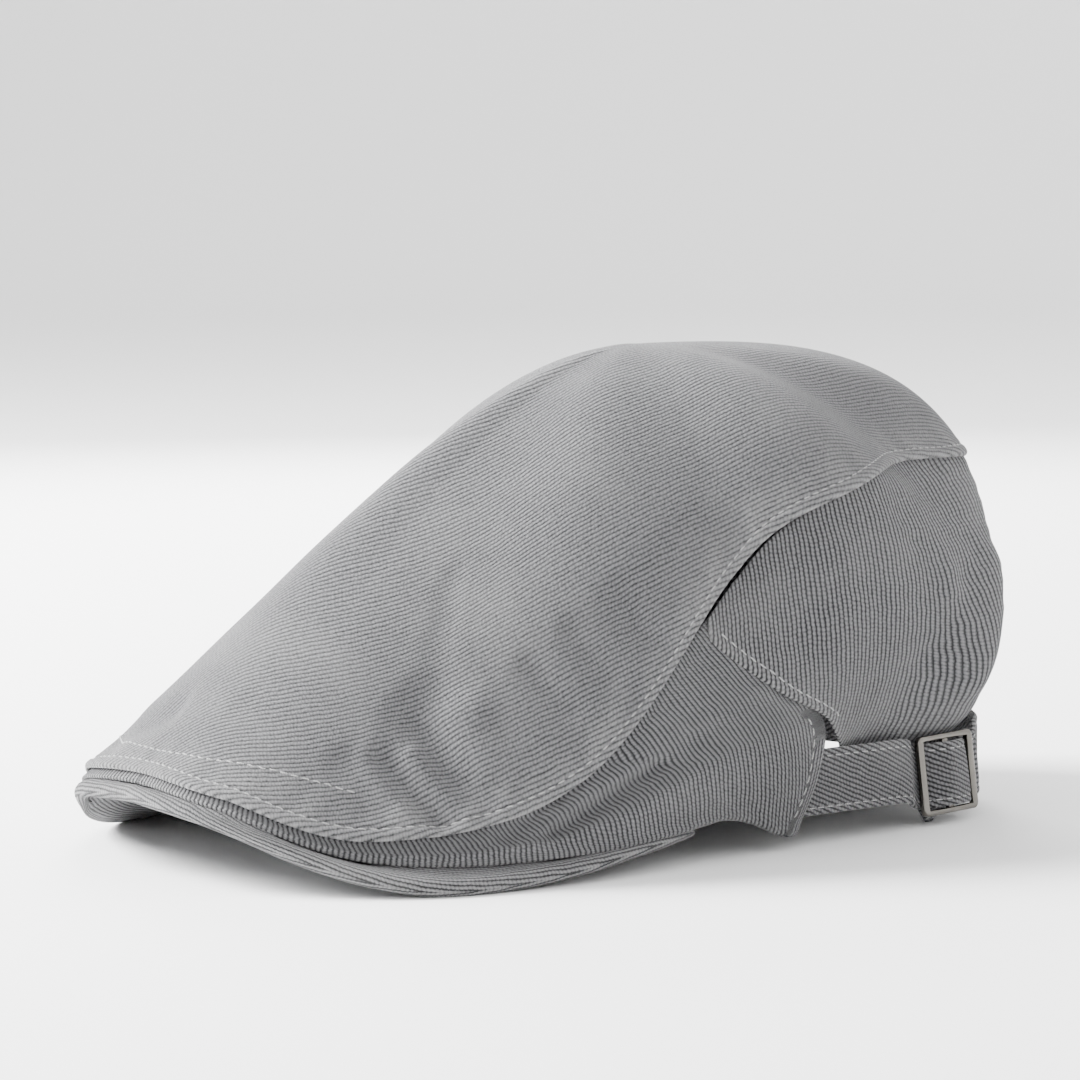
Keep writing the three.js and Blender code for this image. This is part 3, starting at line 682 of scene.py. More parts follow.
# The ribs of the top panel are arcs round this point of its flat cloth, in millimetres behind the apex
# and to the wearer's left of it. They stand out less than those of the other panels, in their bump and in
# their painted groove shade.
RIB_CENTRE = (-6, -190)
TOP_RIBS = 0.62

# The second row of stitches over the tip: angles from the front, and shares of the crown's height.
FRONT_ROW_ANGLES = (0, 10, 21.5, 28, 40)
FRONT_ROW_HEIGHTS = (0.238, 0.239, 0.233, 0.222, 0.182)


def top_grid(cap):
    """Angles, climbs and distances from the edge of the top panel's points."""
    angle = np.linspace(-180, 180, TOP_COLUMNS + 1)[:-1]
    edge = climb_to(cap, angle, seam_z(cap, angle))
    samples = edge[:, None] + (1 - edge[:, None]) * np.linspace(0, 1, 161)
    run = run_length(crown_point(cap, angle[:, None], samples), 1)
    near = np.array(TOP_EDGE_ROWS) * MM
    far = np.linspace(0, 1, TOP_ROWS + 1)[1:] ** 1.08
    distance = np.array([np.concatenate((near, near[-1] + (r[-1] - near[-1]) * far)) for r in run])
    climb = np.array([np.interp(d, r, s) for d, r, s in zip(distance, run, samples)])
    climb[:, -1] = 1
    return angle[:, None] * np.ones_like(climb), climb, distance


def top_cloth(cap, base):
    """Place on the flat cloth of the top panel: its ribs bow gently round a point far to the right."""
    ends = np.array((0.0, 180.0))
    seams = climb_to(cap, ends, seam_z(cap, ends))
    front, back = (crown_point(cap, end, np.linspace(0.999, seam, 120)) for end, seam in zip(ends, seams))
    ridge = np.concatenate((front[::-1], back))
    ahead = run_length(ridge, 0)
    ahead = ahead - ahead[len(front)]
    u = np.interp(base[..., 1], ridge[:, 1], ahead)
    u = u + base[..., 1] - np.clip(base[..., 1], ridge[0, 1], ridge[-1, 1])
    below = np.maximum(np.interp(base[..., 1], ridge[:, 1], ridge[:, 2]) - base[..., 2], 0)
    v = np.sign(base[..., 0]) * np.hypot(base[..., 0], below * smooth(np.abs(base[..., 0]) / (50 * MM)))
    du, dv = u - RIB_CENTRE[0] * MM, v - RIB_CENTRE[1] * MM
    away = np.hypot(du, dv)
    return np.stack((np.arctan2(du, dv) * away, away), -1) / MM


class CAP_OT_top_panel(bpy.types.Operator):
    """Crown top in one piece, its turned edge lapping over the panels below it"""

    bl_idname = "cap.top_panel"
    bl_label = "Top panel"

    def execute(self, context):
        cap = context.scene.cap_sizes
        angle, climb, distance = top_grid(cap)
        base = crown_point(cap, angle, climb)
        normal = crown_normal(cap, angle, climb)
        normal[:, -1] = (0, 0, 1)
        bend = line_rise(cap, FOLDS, angle, base[..., 2]) + line_rise(cap, CREASES, angle, base[..., 2])
        fade = smooth(distance / (25 * MM)) * smooth((1 - climb) * 6)
        bend = bend + 0.3 * MM * wander(base, 26 * MM, 1) * fade
        edge_run = run_length(base, 0)[:, :1] * np.ones_like(distance)
        pleat = np.stack((edge_run / 5.5, distance / 16, distance * 0), -1)
        pull = bell(distance, 6 * MM, 6 * MM) * smooth(distance / (2.5 * MM))
        bend = bend + 0.42 * MM * wander(pleat, MM, 2) * pull
        full = cap.cloth + folded_edge(distance, cap)
        round_rim = rim_share(distance, 1.2 * MM)
        low = cap.gap / 2 + cap.cloth * 0.5
        outer = base + normal * (bend + low + (full - cap.cloth * 0.5) * round_rim)[..., None]
        inner = base + normal * (bend + low - cap.cloth * 0.5 * round_rim)[..., None]
        outer, inner = settle(cap, outer), settle(cap, inner)
        cloth = top_cloth(cap, base)
        wear = rubbed(distance, 0.55, 1.4 * MM) + 0.35 * pull * (0.5 + wander(pleat, MM, 2))
        wear = np.clip(wear, 0, 1)
        twill = material("cotton_twill", cotton_twill, context)
        panel = shell("crown_top", outer, inner, cloth, wear, twill, closed=True, capped=True, ribs=TOP_RIBS)
        seat(panel, "twill", "top_panel")
        thread = material("spun_thread", spun_thread, context)
        faces_out = grid_normals(outer, closed=True)
        row = TOP_EDGE_ROWS.index(3.5)
        rows = [stitches(cap, outer[:, row], faces_out[:, row])]
        rows.append(self.front_row(cap, angle, base, outer, faces_out))
        thread_piece("crown_top_stitching", rows, thread)
        return {"FINISHED"}

    def front_row(self, cap, angle, base, outer, normals):
        """The second row of stitches, across the front of the panel."""
        asked = np.linspace(-FRONT_ROW_ANGLES[-1], FRONT_ROW_ANGLES[-1], 161)
        z = np.interp(np.abs(asked), FRONT_ROW_ANGLES, FRONT_ROW_HEIGHTS) * cap.crown_height
        column = (asked + 180) / 360 * angle.shape[0]
        row = [np.interp(h, base[int(c), :, 2], np.arange(base.shape[1])) for h, c in zip(z, column)]
        path = grid_at(outer, column, np.array(row))
        return stitches(cap, path, grid_at(normals, column, np.array(row)))


def panel_value(name, row):
    """A column of the panels' table at a row, run on past its ends."""
    return along(PANEL[name], row, mirrored=False)


def panel_climb(cap, angle, row, which, edge):
    """Climb of a panel's rows, which bend to the height of the panel's own end."""
    inside = np.minimum(row, len(PANEL["up"]) - 1)
    end_angle, end_z = panel_value(f"{which}_angle", inside), panel_value(f"{which}_z", inside)
    foot, seam = foot_z(cap, end_angle), seam_z(cap, end_angle)
    end_up = (end_z * cap.crown_height - foot) / (seam - foot)
    up = panel_value("up", inside)
    climb = up + (end_up - up) * edge**3
    z = foot_z(cap, angle) * (1 - climb) + seam_z(cap, angle) * climb
    return climb_to(cap, angle, z + cap.allowance * np.maximum(row - (len(PANEL["up"]) - 1), 0))


def spaced(near_start, near_end, steps):
    """Shares from 0 to 1 with fine steps near either end, each list in shares."""
    middle = np.linspace(near_start[-1], 1 - near_end[-1], steps)
    return np.concatenate((near_start[:-1], middle, 1 - np.array(near_end[-2::-1])))


# How far the ribs of the back panel spread where it is full: less than 1 is wider apart.
BACK_SPREAD = 0.55

# Fine rows of the side and back panels over their rounded lower edge, as shares of their height, and
# fine columns over their upright edges, as shares of their length.
FOOT_ROWS = (0, 0.0015, 0.004, 0.008, 0.014, 0.022)
SIDE_COLUMNS = (0, 0.0008, 0.002, 0.004, 0.0075, 0.012, 0.017, 0.022, 0.027, 0.033)
BACK_COLUMNS = (0, 0.0006, 0.0016, 0.0032, 0.0055, 0.0085, 0.0115, 0.014, 0.017, 0.021)

# Share of the length round the crown that the side and back panels' flat cloth measures.
FLAT_SHARE = 0.82

# How the ribs of the side and back panels lean as they climb: a part that grows with the length from
# the foot and one that grows with its square, in metres.
SIDE_RIB_LEAN = (0.05, 4.3)
BACK_RIB_LEAN = (0.3, -3.2)

# Where the side panel starts beside the front, and where its corner starts to hang and hangs fully, in
# degrees. The hang fades out at this share of the climb.
SIDE_START = 0.12
SIDE_DROP_FROM = 84
SIDE_DROP_FULL = 98
SIDE_DROP_UP_TO = 0.4

# The facing inside the side panel's rear edge, and how far the panel tucks in under its neighbours.
FACING = 4.8 * MM
FACING_RISE = 0.35 * MM
FACING_GROOVE = 0.45 * MM
SIDE_TUCK = 1.75 * MM


def around_length(cap, angle, up, spread=1.0):
    """Length round the crown to an angle, along a line at a share of the climb to the seam. Behind the
    sides the length counts less, by spread."""
    marks = np.linspace(0, 360, 721)
    z = foot_z(cap, marks) * (1 - up) + seam_z(cap, marks) * up
    line = crown_point(cap, marks, climb_to(cap, marks, z))
    behind = smooth((90 - np.abs(marks - 180) - 8) / 30)
    steps = np.linalg.norm(np.diff(line, axis=0), axis=1) * (1 - (1 - spread) * behind[1:])
    return np.interp(angle, marks, np.concatenate(([0], np.cumsum(steps))))


class CAP_OT_side_panels(bpy.types.Operator):
    """Side panels, a rolled strip at the front that widens to a free, stitched rear edge"""

    bl_idname = "cap.side_panels"
    bl_label = "Side panels"

    def execute(self, context):
        cap = context.scene.cap_sizes
        twill = material("cotton_twill", cotton_twill, context)
        thread = material("spun_thread", spun_thread, context)
        sides = (("left", 1, cap.corner_drop), ("right", -1, cap.corner_drop_right))
        for name, hand, drop in sides:
            rows = self.build(cap, name, hand, drop, twill)
            thread_piece(f"side_{name}_stitching", rows, thread)
        return {"FINISHED"}

    def build(self, cap, name, hand, drop, twill):
        edge = spaced((0, 0.004), SIDE_COLUMNS, 190)[:, None]
        row = spaced(FOOT_ROWS, (0, 0.02), 84) * len(PANEL["up"])
        last = len(PANEL["up"]) - 1
        row = row[None, :]
        inside = np.minimum(row, last)
        lap = 2.2 * smooth((inside - 3.1) / 1.5)
        angle = SIDE_START + (panel_value("side_angle", inside) + lap - SIDE_START) * edge
        climb = panel_climb(cap, angle, row, "side", edge)
        base = crown_point(cap, hand * angle, climb)
        normal = crown_normal(cap, hand * angle, climb)
        z = base[..., 2]
        bend = line_rise(cap, FOLDS, hand * angle, z) + line_rise(cap, CREASES, hand * angle, z)
        bend = bend + 0.35 * MM * wander(base, 17 * MM, 3) * smooth((angle - 40) / 30)
        from_end = run_length(base, 0, backwards=True)
        tuck = smooth((inside - 3) / 1.2) * (1 - smooth(from_end / (7 * MM)))
        bend = bend - SIDE_TUCK * tuck
        centre = base + normal * (bend - cap.gap / 2 - cap.cloth / 2)[..., None]
        up = panel_value("up", inside)
        hang = smooth((angle - SIDE_DROP_FROM) / (SIDE_DROP_FULL - SIDE_DROP_FROM))
        fall = drop * hang * np.maximum(0, 1 - up / SIDE_DROP_UP_TO) ** 1.1
        centre[..., 2] -= fall
        centre[..., 0] += hand * cap.corner_flare * fall / drop
        from_foot = run_length(centre, 1)
        from_end = run_length(centre, 0, backwards=True)
        free = 1 - smooth((inside - 2.6) / 0.8)
        rim = rim_share(from_foot, EDGE_RADIUS) * rim_share(from_end, EDGE_RADIUS)
        half = cap.cloth / 2 * rim
        facing = free * FACING_RISE * (1 - smooth((from_end - 4.6 * MM) / (1.5 * MM)))
        groove = free * FACING_GROOVE * bell(from_end, FACING, GROOVE_WIDTH)
        roll = 0.5 * MM * bell(from_foot, 2 * MM, 1.8 * MM) * smooth((angle - 60) / 20)
        out = half + (facing + roll) * rim - groove
        outer = settle(cap, centre + normal * out[..., None])
        inner = settle(cap, centre - normal * half[..., None])
        lean = from_foot * (SIDE_RIB_LEAN[0] + SIDE_RIB_LEAN[1] * from_foot)
        strip = smooth((from_end - 4.3 * MM) / (0.8 * MM)) if hand > 0 else 1.0
        strip = np.maximum(strip, 1 - free)
        across = strip * (around_length(cap, angle, 0.3) + lean) * FLAT_SHARE + (1 - strip) * from_end
        cloth = np.stack((from_foot, across), -1) / MM
        wear = np.clip(rubbed(from_end, 0.5, 1.2 * MM) + rubbed(from_foot, 0.35, 1.2 * MM), 0, 1)
        if hand < 0:
            outer, inner, cloth, wear = outer[::-1], inner[::-1], cloth[::-1], wear[::-1]
            from_end = from_end[::-1]
        seat(shell(f"side_{name}", outer, inner, cloth, wear, twill), "twill", f"side_panel_{name}")
        normals = grid_normals(outer)
        steps = np.linspace(0.6, 3.15, 60) / len(PANEL["up"])
        rows_at = np.interp(steps, np.sort(row[0]) / len(PANEL["up"]), np.arange(row.shape[1]))
        columns = columns_at(from_end, rows_at, FACING)
        path = grid_at(outer, columns, rows_at)
        return [stitches(cap, path, grid_at(normals, columns, rows_at))]


class CAP_OT_back_panel(bpy.types.Operator):
    """Tall rear panel in one piece, lapped over the side panels, its lower edge free"""

    bl_idname = "cap.back_panel"
    bl_label = "Back panel"

    def execute(self, context):
        cap = context.scene.cap_sizes
        share = spaced(BACK_COLUMNS, BACK_COLUMNS, 330)[:, None]
        row = spaced(FOOT_ROWS, (0, 0.02), 110)[None, :] * len(PANEL["up"])
        inside = np.minimum(row, len(PANEL["up"]) - 1)
        start = panel_value("back_angle", inside) + 0.35
        around = start + (360 - 2 * start) * share
        angle = np.where(around > 180, around - 360, around)
        edge = np.abs(2 * share - 1)
        climb = panel_climb(cap, np.abs(angle), row, "back", edge)
        base = crown_point(cap, angle, climb)
        normal = crown_normal(cap, angle, climb)
        z = base[..., 2]
        bend = line_rise(cap, FOLDS, angle, z) + line_rise(cap, CREASES, angle, z)
        bend = bend + 0.4 * MM * wander(base, 20 * MM, 5)
        crimp = np.stack((base[..., 0] / 9, base[..., 1] / 9, z / 3.4), -1)
        gathered = smooth((np.abs(angle) - 108) / 14) * smooth((z - 40 * MM) / (15 * MM))
        bend = bend + 0.3 * MM * wander(crimp, MM, 6) * gathered + 0.35 * MM * smooth((inside - 5.4) / 1.4)
        centre = base + normal * (bend - cap.gap / 2 - cap.cloth / 2)[..., None]
        from_start, from_end = run_length(centre, 0), run_length(centre, 0, backwards=True)
        from_side = np.minimum(from_start, from_end)
        from_foot = run_length(centre, 1)
        rim = rim_share(from_side, EDGE_RADIUS) * rim_share(from_foot, EDGE_RADIUS)
        half = cap.cloth / 2 * rim
        stitched = folded_edge(from_side, cap) * smooth((inside - 2.4) / 0.6)
        hem = 0.4 * MM * (1 - smooth((from_foot - 4 * MM) / (1.5 * MM)))
        outer = settle(cap, centre + normal * (half + np.maximum(stitched, hem) * rim)[..., None])
        inner = settle(cap, centre - normal * half[..., None])
        sway = 0.2 * MM * wander(crimp, MM, 8) * gathered
        lean = from_foot * (BACK_RIB_LEAN[0] + BACK_RIB_LEAN[1] * from_foot) * np.sign(angle)
        across = (around_length(cap, around, 0.5, BACK_SPREAD) + lean) * FLAT_SHARE + sway
        cloth = np.stack((from_foot, across), -1) / MM
        wear = np.clip(rubbed(from_side, 0.5, 1.2 * MM) + rubbed(from_foot, 0.4, 1.2 * MM), 0, 1)
        twill = material("cotton_twill", cotton_twill, context)
        seat(shell("crown_back", outer, inner, cloth, wear, twill), "twill", "back_panel")
        thread = material("spun_thread", spun_thread, context)
        normals = grid_normals(outer)
        rows = []
        for field in (from_start, from_end):
            marks = np.linspace(2.75, len(PANEL["up"]) - 1.1, 60)
            rows_at = np.interp(marks, row[0], np.arange(row.shape[1]))
            columns = columns_at(field, rows_at, cap.edge_stitch)
            path = grid_at(outer, columns, rows_at)
            rows.append(stitches(cap, path, grid_at(normals, columns, rows_at)))
        thread_piece("crown_back_stitching", rows, thread)
        return {"FINISHED"}


# The peak sits this much lower than one gap under the crown. It thins towards its two ends, from and
# over these steps along its table, and its rim tucks in there by this share.
SEAT_SLACK = -0.2 * MM
PEAK_THINS_FROM = 4.5
PEAK_THINS_OVER = 2.5
END_TUCK = 0.75
PEAK_RIB_ANGLE = -5


def peak_place(cap, position, share):
    """Middle of the peak's thickness: share is -1 at its inner edge, 0 under the crown's edge and 1
    at the rim."""
    hand = np.where(position < 0, -1.0, 1.0)
    at = {name: along(row, np.abs(position), odd=name.endswith("across")) for name, row in PEAK.items()}

    def edge(which):
        x = hand * at[f"{which}_across"] * cap.peak_half_width
        return np.stack((x, -at[f"{which}_along"] * cap.peak_front, at[f"{which}_z"] * cap.peak_rise), -1)

    angle = hand * at["angle"]
    zero = np.zeros_like(angle)
    rise = line_rise(cap, FOLDS, angle, crown_point(cap, angle, zero)[..., 2])
    under = crown_point(cap, angle, zero)
    under = under + crown_normal(cap, angle, zero) * (rise - cap.gap / 2 - cap.cloth)[..., None]
    under[..., 2] -= cap.gap + peak_depth(cap, position) / 2 + SEAT_SLACK
    tuck = END_TUCK * smooth((np.abs(position) - PEAK_THINS_FROM) / PEAK_THINS_OVER) ** 2
    inward, outward = np.clip(-share, 0, 1)[..., None], (np.clip(share, 0, 1) * (1 - tuck))[..., None]
    return under + (edge("root") - under) * inward + (edge("rim") - under) * outward


def peak_depth(cap, position):
    thinning = smooth((np.abs(position) - PEAK_THINS_FROM) / PEAK_THINS_OVER)
    return cap.peak_thickness + (cap.peak_end - cap.peak_thickness) * thinning


class CAP_OT_peak(bpy.types.Operator):
    """Stiff peak, a board covered on both faces, with a thick rolled rim"""

    bl_idname = "cap.peak"
    bl_label = "Peak"

    def execute(self, context):
        cap = context.scene.cap_sizes
        last = len(PEAK["angle"]) - 1
        position = np.linspace(-last, last, 361)[:, None]
        inner_part = -np.array((1, 0.985, 0.96, 0.92, 0.86, 0.78, 0.68, 0.56, 0.44, 0.32, 0.2, 0.1))
        near_rim = 1 - np.array((0.16, 0.125, 0.1, 0.08, 0.06, 0.042, 0.028, 0.016, 0.007, 0.002, 0))
        outer_part = np.concatenate((np.linspace(0, 0.8, 14), near_rim))
        share = np.concatenate((inner_part, outer_part))[None, :]
        position, share = np.broadcast_arrays(position, share)
        centre = peak_place(cap, position, share)
        normal = -grid_normals(centre)
        normal = np.where(normal[..., 2:] < 0, -normal, normal)
        depth = peak_depth(cap, position)
        from_rim = run_length(centre, 1, backwards=True)
        from_root = run_length(centre, 1)
        ends = np.minimum(run_length(centre, 0), run_length(centre, 0, backwards=True))
        shape = rim_share(from_rim, 2.4 * MM) * rim_share(from_root, 1.2 * MM) * rim_share(ends, 1.2 * MM)
        fill = 0.12 * MM * wander(centre, 9 * MM, 9)
        puff = 0.25 * MM * bell(from_rim, 3.5 * MM, 2 * MM)
        upper = settle(cap, centre + normal * ((depth / 2 + fill + puff) * shape)[..., None])
        lower = settle(cap, centre - normal * ((depth / 2 + fill) * shape)[..., None])
        run = run_length(centre, 0)[:, -3:-2]
        over = run_length(upper, 1, backwards=True)
        cloth = ribs_turned(run + 0 * over, over, PEAK_RIB_ANGLE)
        wear = rubbed(from_rim, 0.45, 2 * MM)
        twill = material("cotton_twill", cotton_twill, context)
        seat(shell("peak_cover", upper[::-1], lower[::-1], cloth[::-1], wear[::-1], twill), "twill", "peak")
        return {"FINISHED"}


STRAP_RIB_ANGLE = -24

# Edge stitches of the straps, in from the edge.
STRAP_STITCH = 2 * MM

# Where the short strap passes into its loop and the long strap starts, as shares of the strap's way
# round the back.
SHORT_STRAP_END = 0.095
LONG_STRAP_START = 0.275


def strap_plan(cap, t):
    """The straps' way round the back, at shares of it from the wearer's left to the right."""
    angle = np.radians(STRAP_START + (180 - 2 * STRAP_START) * t)
    power = 2 / SQUARENESS
    c, s = np.cos(angle), np.sin(angle)
    straight = (angle < 0) | (angle > np.pi)
    x = (cap.crown_half_width - cap.strap_inset) * np.sign(c) * np.where(straight, 1, np.abs(c) ** power)
    reach = cap.crown_back + cap.strap_behind - cap.strap_centre
    y = cap.strap_centre + reach * np.sign(s) * np.abs(s) ** power
    return np.stack((x, y, np.full_like(x, cap.strap_height)), -1)


def buckle_frame(cap):
    """Turns along, out and up at the buckle into a place on the cap."""
    x = cap.crown_half_width - cap.strap_inset - cap.buckle_inset
    place = Matrix.Translation((x, cap.buckle_back, cap.strap_height - cap.buckle_drop))
    yaw = Matrix.Rotation(math.radians(BUCKLE_YAW), 4, "Z")
    return place @ yaw @ Matrix.Rotation(-math.radians(BUCKLE_LEAN), 4, "Y")


def threaded(cap, table):
    """Stations of a band where it threads the buckle: x, y, z, tilt and lean."""
    turn = buckle_frame(cap)
    rows = []
    for row in table:
        at = turn @ Vector((row.out * MM, row.along * MM, row.up * MM))
        rows.append((*at, row.tilt, row.lean))
    return rows


def plan_rows(cap, start, end, count):
    """Stations of a band along the strap's way round the back."""
    return [(*p, 0, 0) for p in strap_plan(cap, np.linspace(start, end, count))]


def strap(context, name, stations, node):
    """A strap of folded cloth along its stations, stitched along both edges."""
    cap = context.scene.cap_sizes
    stations = np.array(stations)
    run = run_length(stations[:, :3], 0)
    steps = np.linspace(0, run[-1], max(int(run[-1] / (0.9 * MM)), 8))
    position = np.interp(steps, run, np.arange(len(stations)))
    values = np.stack([along(stations[:, k], position, mirrored=False) for k in range(5)], -1)
    centre, tilt, lean = values[:, :3], np.radians(values[:, 3]), np.radians(values[:, 4])
    way = np.gradient(centre, axis=0)
    way[:, 2] = 0
    way = unit(way)
    level = np.stack((way[:, 1], -way[:, 0], 0 * way[:, 0]), -1)
    outside = centre - np.array((0, cap.strap_centre, 0))
    facing = np.where((level * outside).sum(-1) < 0, -1.0, 1.0)[:, None]
    up = np.cos(tilt)[:, None] * np.array((0, 0, 1.0)) + np.sin(tilt)[:, None] * np.cross(level, (0, 0, 1.0))
    angle = -facing * lean[:, None]

    def leaned(vector):
        side = np.cross(way, vector)
        ahead = way * (way * vector).sum(-1, keepdims=True)
        return vector * np.cos(angle) + side * np.sin(angle) + ahead * (1 - np.cos(angle))

    up, out = leaned(up), leaned(level)
    near = np.array((0, 0.006, 0.02, 0.045, 0.075, 0.1, 0.115, 0.135, 0.17))
    share = spaced(near, near, 14)
    offset = (share - 0.5) * cap.strap_width
    grid = centre[:, None] + up[:, None] * offset[None, :, None]
    sway = 0.2 * MM * wander(grid, 14 * MM, 11)
    from_edge = np.minimum(share, 1 - share)[None, :] * cap.strap_width
    from_end = np.minimum(steps, steps[-1] - steps)[:, None]
    shape = rim_share(from_edge, EDGE_RADIUS) * rim_share(from_end, EDGE_RADIUS)
    seam = 0.3 * MM * bell(from_edge, STRAP_STITCH, 0.5 * MM)
    half = (cap.strap_thickness / 2 - seam) * shape
    front = settle(cap, grid + out[:, None] * (half + sway)[..., None])
    back = settle(cap, grid - out[:, None] * (half - sway)[..., None])
    cloth = ribs_turned(steps[:, None] + 0 * from_edge, offset[None, :] + 0 * from_edge, STRAP_RIB_ANGLE)
    wear = rubbed(from_edge, 0.5, 0.8 * MM) * np.ones_like(from_end)
    twill = material("cotton_twill", cotton_twill, context)
    seat(shell(name, back, front, cloth, wear, twill), "twill", node)
    rows = []
    inset = STRAP_STITCH / cap.strap_width
    for column in (np.argmin(np.abs(share - inset)), np.argmin(np.abs(share - 1 + inset))):
        for face, way_out in ((front, 1), (back, -1)):
            rows.append(stitches(cap, face[:, column], way_out * out, rise=0.06 * MM))
    thread_piece(f"{name}_stitching", rows, material("spun_thread", spun_thread, context))


class CAP_OT_straps(bpy.types.Operator):
    """Rear strap in two bands, one looped round the buckle's bar and one with the drooping tail"""

    bl_idname = "cap.straps"
    bl_label = "Straps"

    def execute(self, context):
        cap = context.scene.cap_sizes
        short = plan_rows(cap, 0, SHORT_STRAP_END, 6) + threaded(cap, LOOP)
        long = threaded(cap, TAIL) + plan_rows(cap, LONG_STRAP_START, 1, 43)
        strap(context, "short_strap", short, "strap_left")
        strap(context, "long_strap", long, "strap_back")
        return {"FINISHED"}


BUCKLE_CORNER = 1.1 * MM

# The bars' section is a rounded square: a circle's sine and cosine to this power.
BAR_SQUARENESS = 0.42


def rounded_path(half_length, half_height, radius, steps=8):
    """Closed outline of a rectangle with round corners."""
    points = []
    corners = ((1, 1, 0), (-1, 1, 90), (-1, -1, 180), (1, -1, 270))
    for sx, sy, start in corners:
        cx, cy = sx * (half_length - radius), sy * (half_height - radius)
        for k in range(steps + 1):
            turn = math.radians(start + 90 * k / steps)
            points.append((cx + radius * math.cos(turn), cy + radius * math.sin(turn)))
    return np.array(points)


class CAP_OT_buckle(bpy.types.Operator):
    """Slide buckle of plated steel, a rounded frame with a bar across its middle"""

    bl_idname = "cap.buckle"
    bl_label = "Buckle"

    def execute(self, context):
        cap = context.scene.cap_sizes
        half = np.array((cap.buckle_length, cap.buckle_height)) / 2
        middle = half - np.array((cap.buckle_bar, cap.buckle_rail)) / 2
        path = rounded_path(*middle, BUCKLE_CORNER)
        ahead = unit(np.roll(path, -1, 0) - np.roll(path, 1, 0))
        side = np.stack((ahead[:, 1], -ahead[:, 0]), -1)
        upright = np.abs(side[:, 0])
        width = cap.buckle_rail + (cap.buckle_bar - cap.buckle_rail) * upright
        points, faces = self.tube(path, side, width / 2, cap.buckle_thickness / 2, True)
        bar = np.stack((np.zeros(12), np.linspace(-middle[1], middle[1], 12)), -1)
        bar_side = np.tile((1.0, 0.0), (12, 1))
        bar_width = np.full(12, cap.buckle_bar / 2)
        more, more_faces = self.tube(bar, bar_side, bar_width, cap.buckle_thickness / 2 * 0.8, False)
        faces += [tuple(i + len(points) for i in face) for face in more_faces]
        local = np.concatenate((points, more))
        turn = np.array(buckle_frame(cap))
        world = local[:, [2, 0, 1]] @ turn[:3, :3].T + turn[:3, 3]
        steel = material("plated_steel", plated_steel, context)
        seat(make_mesh("slide_buckle", settle(cap, world), faces, steel), "metal", "buckle")
        return {"FINISHED"}

    def tube(self, path, side, half_width, half_depth, closed):
        """A bar with rounded edges along a flat path: along, up and out for each point."""
        sides = 20
        turns = np.arange(sides) * 2 * np.pi / sides
        across = np.sign(np.cos(turns)) * np.abs(np.cos(turns)) ** BAR_SQUARENESS
        depth = np.sign(np.sin(turns)) * np.abs(np.sin(turns)) ** BAR_SQUARENESS
        wide = path[:, None] + side[:, None] * across[None, :, None] * half_width[:, None, None]
        deep = np.broadcast_to(depth * half_depth, wide.shape[:2])
        points = np.concatenate((wide, deep[..., None]), -1).reshape(-1, 3)
        count = len(path)
        faces = []
        for i in range(count if closed else count - 1):
            for k in range(sides):
                a, b = i * sides + k, i * sides + (k + 1) % sides
                c, d = (i + 1) % count * sides + (k + 1) % sides, (i + 1) % count * sides + k
                faces.append((a, b, c, d))
        if not closed:
            faces.append(tuple(reversed(range(sides))))
            faces.append(tuple((count - 1) * sides + k for k in range(sides)))
        return points, faces


# The photograph's view, solved from the cap's own sizes: degrees, metres and millimetres of lens.
PHOTO_AZIMUTH = 54.4
PHOTO_ELEVATION = 6.7
PHOTO_ROLL = 0.66
PHOTO_DISTANCE = 1.2
PHOTO_LENS = 147.2

# Where the camera was aimed over and beside the cap's middle, in pixels, and pixels to the millimetre.
AIM_UP = 81.4
AIM_RIGHT = 10
PHOTO_SCALE = 3.68

# Place, size and power of each soft light, in metres and watts, and the strength of the pale air.
LIGHTS = (
    ("key", (-1.05, -0.85, 0.9), 0.7, 165),
    ("fill", (1.4, -1.2, 1.1), 1.2, 2),
    ("back", (-1.0, 0.6, 0.6), 0.5, 20),
)
AIR_STRENGTH = 1.6

BACKDROP_SIDES = 96


